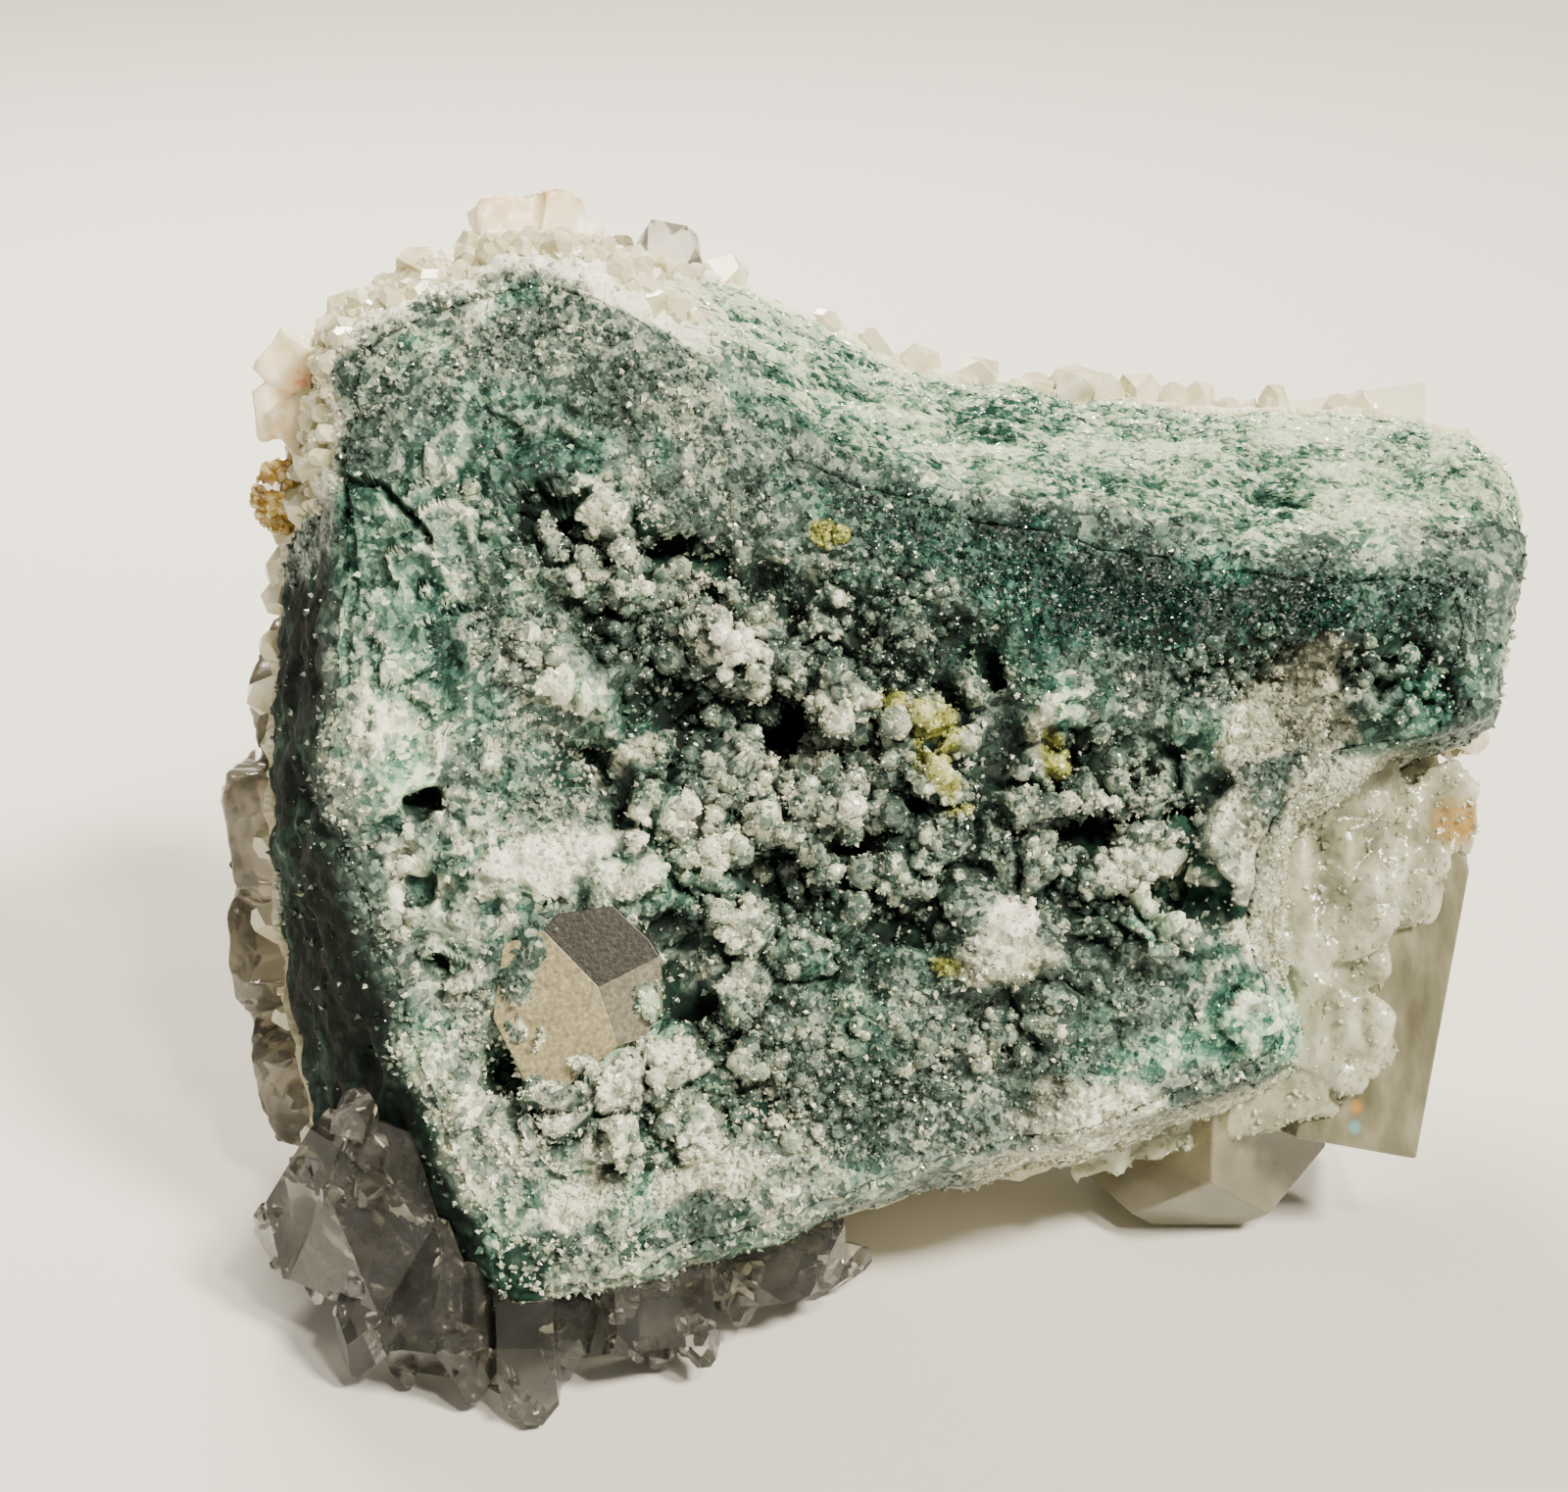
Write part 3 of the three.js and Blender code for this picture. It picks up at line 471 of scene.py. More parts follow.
def bare_rock(u, s):
    """The rock without relief at (u, s), and the way out of it. The profile is straight between its
    five points, with rounded corners; the way out turns from the viewer's side at s = 0 to the far
    side at s = 4."""
    points, front_softness = profile_points(u)
    last = len(points) - 1
    low = np.clip(np.floor(s).astype(int), 0, last - 1)
    near = np.round(s).astype(int)
    part = (s - low)[..., None]
    place = pick(points, low) * (1 - part) + pick(points, low + 1) * part
    inner = np.clip(near, 1, last - 1)
    bend = pick(points, inner + 1) - 2 * pick(points, inner) + pick(points, inner - 1)
    softness = np.where(near == 1, front_softness, EDGE_SOFTNESS)
    reach = np.where(near == inner, np.maximum(0, softness - np.abs(s - near)), 0)
    place = place + bend * (reach ** 2 / (4 * softness))[..., None]
    side = np.stack([points[2][..., 0] - FRONT_FACE["x"], np.zeros_like(u),
                     points[2][..., 2] - FRONT_FACE["z"]], -1)
    side /= np.linalg.norm(side, axis=-1, keepdims=True)
    turn = (s - WAIST) / (BACK_MIDDLE - WAIST) * math.pi / 2
    out = side * np.cos(turn)[..., None]
    out[..., 1] += np.sin(turn)
    return place, out


def ovals(x, z, rows):
    """Sum of smooth mounds (1 - q)^2 on ovals, where q is the squared distance in half-widths."""
    total = np.zeros_like(x)
    for cx, cz, half_width, half_height, turn, height in rows:
        c, s = math.cos(math.radians(turn)), math.sin(math.radians(turn))
        along = (x - cx) * c + (z - cz) * s
        across = (z - cz) * c - (x - cx) * s
        q = np.minimum(1, (along / half_width) ** 2 + (across / half_height) ** 2)
        total += height * (1 - q) ** 2
    return total


def scatter(i, j, k, kind):
    """A fixed scatter: the fraction left of a large sine, one number from 0 to 1 a cell."""
    mixed = np.sin(i * 127.1 + j * 311.7 + k * 74.7 + kind * 53.3) * 4375.85
    return mixed - np.floor(mixed)


def cells(p, spacing):
    """Distances, in spacings, from each point to the nearest and the next nearest of scattered
    centres, one to a cell of a cubic lattice, and a random number of the nearest centre."""
    q = p / spacing
    base = np.floor(q)
    first = np.full(p.shape[:-1], np.inf)
    second = np.full(p.shape[:-1], np.inf)
    mark = np.zeros(p.shape[:-1])
    for di, dj, dk in itertools.product((-1, 0, 1), repeat=3):
        i, j, k = base[..., 0] + di, base[..., 1] + dj, base[..., 2] + dk
        dx = i + scatter(i, j, k, 1) - q[..., 0]
        dy = j + scatter(i, j, k, 2) - q[..., 1]
        dz = k + scatter(i, j, k, 3) - q[..., 2]
        d = dx * dx + dy * dy + dz * dz
        closer = d < first
        second = np.where(closer, first, np.minimum(second, d))
        mark = np.where(closer, scatter(i, j, k, 5), mark)
        first = np.where(closer, d, first)
    return np.sqrt(first), np.sqrt(second), mark


def smooth(value, low, high):
    """A smooth step: 0 up to low, 1 from high on."""
    t = np.clip((value - low) / (high - low), 0, 1)
    return t * t * (3 - 2 * t)


def value_noise(p, spacing):
    """Smooth noise from -1 to 1: random values on a lattice, blended by the smooth step of the
    place inside each cell."""
    q = p / spacing
    base = np.floor(q)
    f = q - base
    f = f * f * (3 - 2 * f)
    total = np.zeros(p.shape[:-1])
    for di, dj, dk in itertools.product((0, 1), repeat=3):
        weight = (np.where(di, f[..., 0], 1 - f[..., 0]) * np.where(dj, f[..., 1], 1 - f[..., 1])
                  * np.where(dk, f[..., 2], 1 - f[..., 2]))
        total += weight * scatter(base[..., 0] + di, base[..., 1] + dj, base[..., 2] + dk, 7)
    return 2 * total - 1


def shifted(p, spacing, reach):
    """Places moved about by smooth noise, up to `reach` along each axis, which makes edges ragged."""
    moves = [value_noise(p + 17.3 * (n + 1), spacing) for n in range(3)]
    return p + reach * np.stack(moves, -1)


def layered_noise(p, spacing, layers=3):
    """Value noise added up in layers, each half as large and half as strong as the last."""
    total = np.zeros(p.shape[:-1])
    for n in range(layers):
        total += value_noise(p + 31.7 * n, spacing / 2 ** n) / 2 ** n
    return total


def front_share(s):
    """1 on the front face, falling to 0 just behind its edge."""
    return smooth(FRONT_EDGE + 0.25 - s, 0, 0.5)


def rock_surface(u, s, grown=0.0):
    """The rock at (u, s) with its lumps, pits and cobbles, grown outward."""
    place, out = bare_rock(u, s)
    nearest, _, _ = cells(place, COBBLES["spacing"])
    rise = ovals(place[..., 0], place[..., 2], FRONT_FORMS) * front_share(s)
    rise = rise + COBBLES["rise"] * (0.45 - nearest ** 2) + grown
    return place + out * rise[..., None]


def surface_normal(shape, u, s, step=2e-3):
    """Unit normals of shape(u, s), from its differences along u and s, turned outward."""
    inner = np.clip(s, step, BACK_MIDDLE - step)
    along = shape(u + step, inner) - shape(u - step, inner)
    across = shape(u, inner + step) - shape(u, inner - step)
    normal = np.cross(along, across)
    normal /= np.maximum(np.linalg.norm(normal, axis=-1, keepdims=True), 1e-9)
    _, out = bare_rock(u, inner)
    return normal * np.sign((normal * out).sum(-1, keepdims=True) + 1e-9)


def patch_share(place, s, rows, low, high, ragged=0.0):
    """Share from 0 to 1 of a kind of patch: where the sum of its ovals passes from low to high,
    with edges made ragged by noise."""
    strength = ovals(place[..., 0], place[..., 2], rows) * front_share(s)
    if ragged:
        strength = strength + ragged * layered_noise(place, 3.0, 3) * (strength > 0.02)
    return smooth(strength, low, high)


def inset_share(place, s, half_width, half_height, high=0.6):
    """How much of an oval about the inset crystal a place belongs to."""
    oval = [INSET_CRYSTAL["x"], INSET_CRYSTAL["z"], half_width, half_height, INSET_CRYSTAL["turn"], 1]
    return patch_share(place, s, [oval], 0.2, high)


def before_crust(s):
    """1 on the bare rock, falling to 0 just behind the crust's rim."""
    return 1 - smooth(s, CRUST["start"] + 0.02, CRUST["start"] + 0.22)


def above_band_edge(place):
    """How far above the lower edge of the bright top band a place is, with the edge made ragged."""
    edge = np.interp(place[..., 0], BAND_EDGE_X, BAND_EDGE_Z)
    return place[..., 2] - edge + 1.6 * layered_noise(place, 4.0, 3)


def top_band(place, s):
    """How much of the bright, streaked band along the top a place belongs to."""
    return smooth(above_band_edge(place), -0.6, 1.6) * before_crust(s)


def milky_share(place, s):
    """How much of the milky quartz, grown over the stone at the right and along the bottom, a place
    belongs to. It goes on round the edge below the green lobe."""
    x, z = place[..., 0], place[..., 2]
    right = smooth(x, 36, 39) * smooth(-z, 0, 2) * (1 - smooth(-z, 17, 20))
    bottom = smooth(x, 13, 20) * smooth(-z + 0.2 * x, 35, 38)
    on_face = patch_share(place, s, MILKY_PATCHES, 0.2, 0.6, 0.35)
    return np.maximum(on_face, np.maximum(right, bottom) * smooth(s, 1.0, 1.1))


def left_side(place, s):
    """How much of the broken side at the left a place belongs to. It is painted dark: partly the dark
    stone, partly painted shade, as the side is turned from the light.
    """
    low = 1 - smooth(place[..., 2] + 2 * layered_noise(place, 4.0, 2), 12, 17)
    return smooth(-place[..., 0], 20, 26) * smooth(s, 1.0, 1.12) * before_crust(s) * low


def shoulder(place, s):
    """How much of the cream-crusted shoulder, behind the edge at the upper left, a place belongs to."""
    high = smooth(place[..., 2] - 0.25 * place[..., 0], 28, 31)
    return high * smooth(-place[..., 0], 4, 10) * smooth(s + 0.1 * layered_noise(place, 3.0, 3), 1.02, 1.14)


def crack_depth(x, z):
    """Depth of the cracks: each is a groove exp(-(d / width)^2) round a straight run, where d is
    the distance from it."""
    total = np.zeros_like(x)
    for x0, z0, x1, z1, width, depth in CRACKS:
        dx, dz = x1 - x0, z1 - z0
        along = np.clip(((x - x0) * dx + (z - z0) * dz) / (dx * dx + dz * dz), 0, 1)
        d2 = (x - x0 - along * dx) ** 2 + (z - z0 - along * dz) ** 2
        total = np.maximum(total, depth * np.exp(-d2 / width ** 2))
    return total


def steps(place, spacing, least=1.0, more=0.0):
    """Flat-sided steps: how much nearer the nearest scattered centre is than the next, times a
    height from least to least + more that each centre has of its own."""
    near, next_near, mark = cells(place, spacing)
    return (next_near - near) * (least + more * mark)


def scalloped_plates(place):
    """Height, from 0 to 1, of low plates with scalloped edges: slow noise less the distance to
    scattered centres gives a level. At each whole level the skin steps up at once, and then it
    sinks slowly as the level goes on rising."""
    level = 1.8 * layered_noise(place, 10.0, 2) - 1.3 * cells(shifted(place, 2.0, 0.5), SCALLOP)[0]
    part = level - np.floor(level)
    return smooth(part, 0, 0.12) - part


def traits(place, u, s):
    """What the rock is like at its places. Shares from 0 to 1: `front` of the front face, `milky` of
    milky quartz, `band` of the top band, `side` of the broken left side, `cavity` of open cavity,
    `plates` of scalloped plates, and `around` and `set_in` of ovals about the inset crystal. Heights:
    `below` under the band's edge in mm, `crack` and `hole` in mm, `streaks` along the band,
    `scallops` of the plates, with `brink` at their upper edges, `wall` of a lobe, and `lobe`, a
    random number of its own."""
    t = SimpleNamespace(front=front_share(s), milky=milky_share(place, s), band=top_band(place, s),
                        side=left_side(place, s), below=-above_band_edge(place))
    t.set_in, t.around = inset_share(place, s, 7.0, 8.0), inset_share(place, s, 10.0, 11.0)
    t.cavity = patch_share(place, s, CAVITY_PATCHES, 0.1, 0.9) * (1 - t.set_in) * (1 - 0.8 * t.milky)
    t.plates = (patch_share(place, s, PLATE_PATCHES, 0.15, 0.6) * (1 - t.milky) * (1 - t.around)
                * (1 - 0.6 * t.cavity))
    t.scallops = scalloped_plates(place)
    t.brink = t.plates * smooth(t.scallops, 0.45, 0.75)
    run = np.stack([u * 2.6, s * 18.0, 0 * s], -1)
    t.streaks = value_noise(shifted(run, 3.0, 0.5), 0.8) * t.band
    near, next_near, t.lobe = cells(shifted(place, 2.4, 1.1), LOBE)
    t.wall = smooth(next_near - near, 0.0, 0.28)
    bent, ragged = shifted(place, 2.5, 0.5), shifted(place, 1.6, 0.7)
    t.crack = crack_depth(bent[..., 0], bent[..., 2])
    t.hole = ovals(ragged[..., 0], ragged[..., 2], HOLES)
    return t


def fine_relief(place, t):
    """Small relief of the rock with traits t, in millimetres. Lobes stand between steep-sided clefts,
    and one in eight is a deep hole. Knobs and specks cover them. The top band has streaks and a
    ledge under it, the left side broken plates and the left of the face scalloped ones, the inset
    crystal a raised seat, and cracks and holes are cut in last."""
    lobes = t.wall * (0.7 + 2.0 * t.lobe) - 1.5 - 3.0 * t.wall * smooth(0.2 - t.lobe, 0, 0.08)
    knobs = 0.45 - cells(place, KNOB)[0] ** 2
    specks = 0.5 - cells(place, SPECK)[0]
    rise = (1.15 * t.cavity * lobes + (0.55 + 0.35 * t.cavity) * knobs + 0.3 * specks * (1 - 0.5 * t.band)
            + 0.4 * t.streaks + 0.3 * layered_noise(place, 5.0, 3))
    rise = rise * (1 - 0.3 * t.side) + 0.8 * t.side * steps(shifted(place, 3.0, 1.6), BROKEN_PLATE)
    ledge = smooth(t.below, -0.5, 1.5) * (1 - smooth(t.below, 4, 11)) * smooth(place[..., 0], -8, 4)
    rise -= 1.1 * ledge * t.front
    rise += 1.2 * (t.around - t.set_in) * (0.5 + layered_noise(place, 2.0, 2))
    rise += 1.35 * t.plates * (t.scallops - 0.4)
    lips = 0.5 * smooth(t.crack, 0.02, 0.2) - 0.5 * smooth(t.crack, 0.4, 1.0)
    return rise + (lips - t.crack + t.hole) * t.front


def rock_looks(place, s, rise, t):
    """Green, pale, ochre and dark shares of the rock's colour, and a tone that is light on lobes and
    dark in clefts, as painted light and shade. The tone is also darker under the top band's ledge, which
    is painted shade, and lighter along the band's right end, which is partly painted light. The dark
    share is the dark stone together with painted shade: it grows where the skin lies low in pits and
    cavities, in deep cracks and holes, and over the left side. Of the kinds of green, pale or dark at a
    place, the strongest shows."""
    x, z = place[..., 0], place[..., 2]
    bare, crack = 1 - t.milky, t.crack * t.front
    cream = shoulder(place, s)
    # Painted shade under the top band's ledge, which is also tinted green
    shade = smooth(t.below, -0.3, 0.8) * (1 - smooth(t.below, 5, 12)) * smooth(x, 2, 12) * t.front
    green = np.maximum.reduce([
        patch_share(place, s, GREEN_PATCHES, 0.25, 0.75, 0.5) * bare,
        smooth(ovals(x, z, GREEN_LOBE), 0.2, 0.7) * (1 - smooth(s, 1.5, 1.9)) * bare,
        0.65 * smooth(layered_noise(place + 41.0, 6.0, 3), 0.1, 0.9) * bare,
        0.55 * (t.plates - t.brink) * smooth(layered_noise(place + 23.0, 5.0, 2), -0.4, 0.4),
        0.6 * smooth(crack, 0.03, 0.2) * (1 - smooth(crack, 0.5, 1.0)),
        0.78 * t.band, 0.75 * shade * bare])
    pale = patch_share(place, s, PALE_PATCHES, 0.25, 0.75, 0.8) * smooth(rise, -1.2, -0.2)
    pale = np.maximum.reduce([pale, t.milky, cream])
    ochre = patch_share(place, s, OCHRE_PATCHES, 0.25, 0.75, 0.9)
    # Painted shade: the dark share grows where the skin lies low in pits and cavities
    pits = np.maximum(patch_share(place, s, DARK_PATCHES, 0.4, 0.7, 0.9) * smooth(0.9 - rise, 0, 0.8),
                      t.cavity * smooth(-rise, 0.3, 1.4))
    dark = np.maximum.reduce([pits * bare, 0.93 * t.side, smooth(crack, 0.6, 1.2),
                              smooth(-t.hole, 0.7, 1.8) * t.front])
    # The tone is lighter on raised parts and darker in clefts, and lighter at the band's right end: painted
    # light and shade
    tone = (0.5 + 0.18 * layered_noise(place, 7.0, 3) + 0.15 * t.cavity * (t.lobe - 0.5)
            + 0.12 * np.clip(rise, -1.5, 1.5) + 0.34 * np.maximum(t.streaks, 0)
            + 0.1 * np.minimum(t.streaks, 0) - 0.24 * shade + t.band * (0.03 + 0.12 * smooth(x, 40, 50))
            + 0.18 * t.brink - 0.04 * t.plates + t.side * (0.35 * layered_noise(place, 3.0, 3) - 0.26)
            + ovals(x, z, TONE_PATCHES) * t.front + 0.25 * cream)
    return np.stack([green, pale, ochre, dark, tone], -1)


def rock_skin(u, s):
    """The rock's finished surface: the grown form moved along its normals by the small relief.
    Gives the places, the normals and the looks."""
    place = rock_surface(u, s)
    normal = surface_normal(rock_surface, u, s)
    t = traits(place, u, s)
    rise = fine_relief(place, t)
    return place + normal * rise[..., None], normal, rock_looks(place, s, rise, t)


def crust_thickness(u, s):
    """Thickness of the crust at (u, s): thin at the rim, full inward, thicker at the corner."""
    away = np.mod(u - CRUST["corner_station"] + STATIONS / 2, STATIONS) - STATIONS / 2
    corner = CRUST["corner"] * np.exp(-((away / CRUST["corner_spread"]) ** 2))
    inward = smooth(s, CRUST["start"], BACK_EDGE)
    return CRUST["rim"] + (CRUST["full"] - CRUST["rim"]) * inward + corner


def crust_surface(u, s):
    """The crust without relief: the rock grown by the gap and the crust's thickness."""
    return rock_surface(u, s, GAP + crust_thickness(u, s))


def crust_skin(u, s):
    """The crust's finished surface: crystalline cells of two widths and fine noise. Its tone is lighter
    on the raised cells and darker between them, as painted light and shade.
    """
    place = crust_surface(u, s)
    normal = surface_normal(crust_surface, u, s)
    coarse, _, mark = cells(place, CRUST_CELL)
    fine, _, _ = cells(place, CRUST_SPECK)
    rise = 0.7 * (0.5 - coarse ** 2) + 0.45 * (0.4 - fine) + 0.15 * layered_noise(place, 1.0, 2)
    # Painted light and shade: the tone follows the relief
    tone = 0.5 + 0.2 * layered_noise(place, 7.0, 3) + 0.25 * rise + 0.1 * (mark - 0.5)
    none = np.zeros_like(tone)
    return place + normal * rise[..., None], normal, np.stack([none, none, none, none, tone], -1)


def lumpy(place):
    """Relief of the milky mass: upright fins near the top, flat-sided steps of two sizes, and swells."""
    fins = 1 - np.abs(value_noise(shifted(place, 4.0, 0.8) * [1, 1, 0.3], 2.6))
    return (1.4 * smooth(place[..., 2], 24, 34) * (fins - 0.7)
            + 1.5 * steps(shifted(place, 1.8, 0.5) * [1, 1, 0.5], 3.3, 0.2, 1.2) - 0.45
            + 0.26 * steps(shifted(place, 1.0, 0.3), 1.4) + 0.3 * layered_noise(place, 6.0, 2))


def worn(place):
    """Relief of the left ridge: flat-sided steps of two sizes, and slow swells."""
    return (0.9 * steps(shifted(place, 3.0, 0.8), 5.0, 0.3, 1.0) - 0.5 + 0.25 * steps(place, 1.6)
            + 0.5 * layered_noise(place, 9.0, 2))


def ribbed(place):
    """Relief of the cream blades: ribs along them, and small flat-sided steps."""
    return (0.35 * value_noise(place * [1, 1, 0.3], 1.1)
            + 0.4 * steps(shifted(place, 2.0, 0.5), 2.2, 0.0, 1.0)
            + 0.2 * layered_noise(place, 4.0, 2) - 0.15)


# Placing and meshes

def standing(p):
    """Points of the view's frame, in millimetres, as metres in the standing frame: leaned back
    about X by LEAN and moved to the middle of the footprint."""
    x, y, z = np.moveaxis(np.asarray(p, float), -1, 0)
    c, s = math.cos(LEAN), math.sin(LEAN)
    return np.stack([x - FOOTPRINT_MIDDLE[0], y * c + z * s - FOOTPRINT_MIDDLE[1],
                     z * c - y * s + VIEW_HEIGHT], -1) * MM


def add_object(name, verts, faces, material, smooth_shaded, looks=None):
    """A mesh object at the origin from arrays of points and faces, with its material. `looks` has
    five numbers a point: four go into the attribute zones, and the last into tone."""
    mesh = bpy.data.meshes.new(name)
    mesh.vertices.add(len(verts))
    mesh.vertices.foreach_set("co", np.asarray(verts, np.float32).ravel())
    sizes = np.concatenate([np.full(len(f), f.shape[1]) for f in faces])
    corners = np.concatenate([f.ravel() for f in faces])
    mesh.loops.add(len(corners))
    mesh.loops.foreach_set("vertex_index", corners.astype(np.int32))
    mesh.polygons.add(len(sizes))
    mesh.polygons.foreach_set("loop_start", (np.cumsum(sizes) - sizes).astype(np.int32))
    mesh.update(calc_edges=True)
    mesh.polygons.foreach_set("use_smooth", np.full(len(sizes), smooth_shaded))
    if looks is not None:
        zones = mesh.attributes.new("zones", "FLOAT_COLOR", "POINT")
        zones.data.foreach_set("color", looks[:, :TONE].astype(np.float32).ravel())
        tone = mesh.attributes.new("tone", "FLOAT", "POINT")
        tone.data.foreach_set("value", looks[:, TONE].astype(np.float32))
    mesh.validate()
    return placed(name, mesh, material)


def placed(name, mesh, material):
    """A mesh as an object of the scene, with its one material."""
    mesh.materials.clear()
    mesh.materials.append(material)
    piece = bpy.data.objects.new(name, mesh)
    bpy.context.scene.collection.objects.link(piece)
    return piece


def ring_faces(rings, columns, start=0):
    """Four-sided faces between `rings` closed rings of `columns` points."""
    i = np.arange(columns)
    j = (i + 1) % columns
    ring = start + np.arange(rings - 1)[:, None] * columns
    return np.stack([ring + i, ring + j, ring + columns + j, ring + columns + i], -1).reshape(-1, 4)


def fan_faces(pole, ring_start, columns, turned):
    """Triangles between a pole and a closed ring."""
    i = ring_start + np.arange(columns)
    j = ring_start + (np.arange(columns) + 1) % columns
    first, second = (i, j) if turned else (j, i)
    return np.stack([np.full(columns, pole), first, second], -1)


def closed_faces(rings, columns):
    """Faces of a closed skin of `rings` rings, after which come the first and the last pole."""
    first = rings * columns
    return [ring_faces(rings, columns), fan_faces(first, 0, columns, False),
            fan_faces(first + 1, (rings - 1) * columns, columns, True)]


def above_ground(p):
    """Points of the standing frame, in millimetres, as metres, with none of them under the ground."""
    return np.stack([p[:, 0], p[:, 1], np.maximum(p[:, 2], 0)], -1) * MM


def small_copies(name, shape, places, frames, sizes, material, looks=None, soft=False, settle=standing):
    """Many copies of a small shape, given by its points and faces, as one object: each point is
    place + frame (size * point), in millimetres, and settle() turns these into metres of the frame.
    Each copy may have its row of looks."""
    points, faces = shape
    verts = places[:, None, :] + np.einsum("nij,npj->npi", frames, points[None] * sizes[:, None, :])
    starts = np.arange(len(places))[:, None, None] * len(points)
    faces = [(f[None] + starts).reshape(-1, f.shape[1]) for f in faces]
    if looks is not None:
        looks = np.repeat(looks, len(points), 0)
    return add_object(name, settle(verts.reshape(-1, 3)), faces, material, soft, looks)


def frames_along(normals, turns):
    """Orthonormal frames whose third axis is the normal, turned about it by a share of a whole turn."""
    n = normals / np.linalg.norm(normals, axis=-1, keepdims=True)
    helper = np.where(np.abs(n[:, 2:3]) < 0.9, np.array([[0, 0, 1.0]]), np.array([[1.0, 0, 0]]))
    a = np.cross(helper, n)
    a /= np.linalg.norm(a, axis=-1, keepdims=True)
    b = np.cross(n, a)
    spin = turns[:, None] * 2 * math.pi
    c, s = np.cos(spin), np.sin(spin)
    return np.stack([a * c + b * s, b * c - a * s, n], -1)


def leaning_frames(random, normals, lean):
    """Frames along normals that lean any way by about `lean` of their length."""
    return frames_along(normals + lean * random.normal(size=normals.shape), random.random(len(normals)))


def spread(random, count, s_range, density):
    """Random places (u, s), as many to each patch of the rock as its area times density says: cells
    of a fine grid are drawn by that weight, and each place is shaken inside its cell."""
    columns, rows = 900, 260
    u = (np.arange(columns) + 0.5) * STATIONS / columns
    s = s_range[0] + (np.arange(rows) + 0.5) * (s_range[1] - s_range[0]) / rows
    uu, ss = np.meshgrid(u, s)
    place, _ = bare_rock(uu, ss)
    along = np.roll(place, -1, 1) - place
    across = np.gradient(place, axis=0)
    area = np.linalg.norm(np.cross(along, across), axis=-1)
    weight = (area * density(place, ss)).ravel()
    chosen = random.choice(weight.size, count, p=weight / weight.sum())
    shake = random.random((2, count)) - 0.5
    return (uu.ravel()[chosen] + shake[0] * STATIONS / columns,
            ss.ravel()[chosen] + shake[1] * (s_range[1] - s_range[0]) / rows)


def thin_out(places, distance, most):
    """Indices of places kept one by one where none kept before is nearer than their distance."""
    kept = []
    spots = np.empty((most, 3))
    for index, place in enumerate(places):
        n = len(kept)
        if n == most:
            break
        if n and (((spots[:n] - place) ** 2).sum(-1) < distance[index] ** 2).any():
            continue
        spots[n] = place
        kept.append(index)
    return np.array(kept)


def crystal_corners(width, depth, length, root, taper, slope=0.9):
    """Corner points of a crystal with four prism faces, a flat end, a foot and four end faces that
    cut the corners: the points where three faces meet and no other face cuts them off."""
    reach = taper * width / 2
    normals = np.array([[1, 0, 0], [-1, 0, 0], [0, 1, 0], [0, -1, 0], [0, 0, 1], [0, 0, -1],
                        [1, 1, slope], [-1, 1, slope], [-1, -1, slope], [1, -1, slope]], float)
    end = 2 * reach + slope * length
    offsets = np.array([width / 2, width / 2, depth / 2, depth / 2, length, root, end, end, end, end])
    triples = np.array(list(itertools.combinations(range(len(normals)), 3)))
    triples = triples[np.abs(np.linalg.det(normals[triples])) > 1e-6]
    points = np.linalg.solve(normals[triples], offsets[triples][..., None])[..., 0]
    inside = (points @ normals.T <= offsets + 1e-6).all(-1)
    return np.unique(points[inside].round(6), axis=0)


def crystal_hull(row):
    """The corner points of one crystal of a table, in metres of the standing frame."""
    at, axis, spin, *shape = row
    lean = Vector((0, 0, 1)).rotation_difference(Vector(axis))
    turned = np.array((lean @ Quaternion((0, 0, 1), math.radians(spin))).to_matrix())
    return standing(crystal_corners(*shape) @ turned.T + np.array(at, float))


def hull_mesh(name, hulls, keep_above=0.0):
    """One mesh of convex bodies, given by their corner points in metres, with whole flat faces. What
    lies lower than keep_above is cut off flat."""
    mesh = bpy.data.meshes.new(name)
    whole = bmesh.new()
    for corners in hulls:
        body = bmesh.new()
        for corner in corners:
            body.verts.new(corner)
        bmesh.ops.convex_hull(body, input=body.verts)
        bmesh.ops.dissolve_limit(body, angle_limit=math.radians(1), verts=body.verts, edges=body.edges)
        if min(v.co.z for v in body.verts) < keep_above:
            cut = bmesh.ops.bisect_plane(body, geom=body.verts[:] + body.edges[:] + body.faces[:],
                                         plane_co=(0, 0, keep_above), plane_no=(0, 0, -1), clear_outer=True)
            rim = [e for e in cut["geom_cut"] if isinstance(e, bmesh.types.BMEdge)]
            bmesh.ops.edgeloop_fill(body, edges=rim)
        bmesh.ops.recalc_face_normals(body, faces=body.faces)
        part = bpy.data.meshes.new("part")
        body.to_mesh(part)
        body.free()
        whole.from_mesh(part)
        bpy.data.meshes.remove(part)
    whole.to_mesh(mesh)
    whole.free()
    return mesh


def crystals_mesh(name, rows):
    """One mesh of the crystals of a table."""
    return hull_mesh(name, [crystal_hull(row) for row in rows])


def crystal_template(taper):
    """The points and triangles of a crystal one unit wide, deep and long."""
    mesh = hull_mesh("template", [crystal_corners(1, 1, 1, 0.4, taper)], keep_above=-1.0)
    mesh.calc_loop_triangles()
    points = np.array([v.co for v in mesh.vertices])
    triangles = np.array([t.vertices for t in mesh.loop_triangles])
    bpy.data.meshes.remove(mesh)
    return points, [triangles]


def bevelled(piece, width_mm):
    """Narrow flats along a crystal's edges, which catch the light."""
    bevel = piece.modifiers.new("edges", "BEVEL")
    bevel.width = width_mm * MM
    bevel.segments = 2
    bevel.limit_method = "ANGLE"
    bevel.angle_limit = math.radians(20)
    return piece


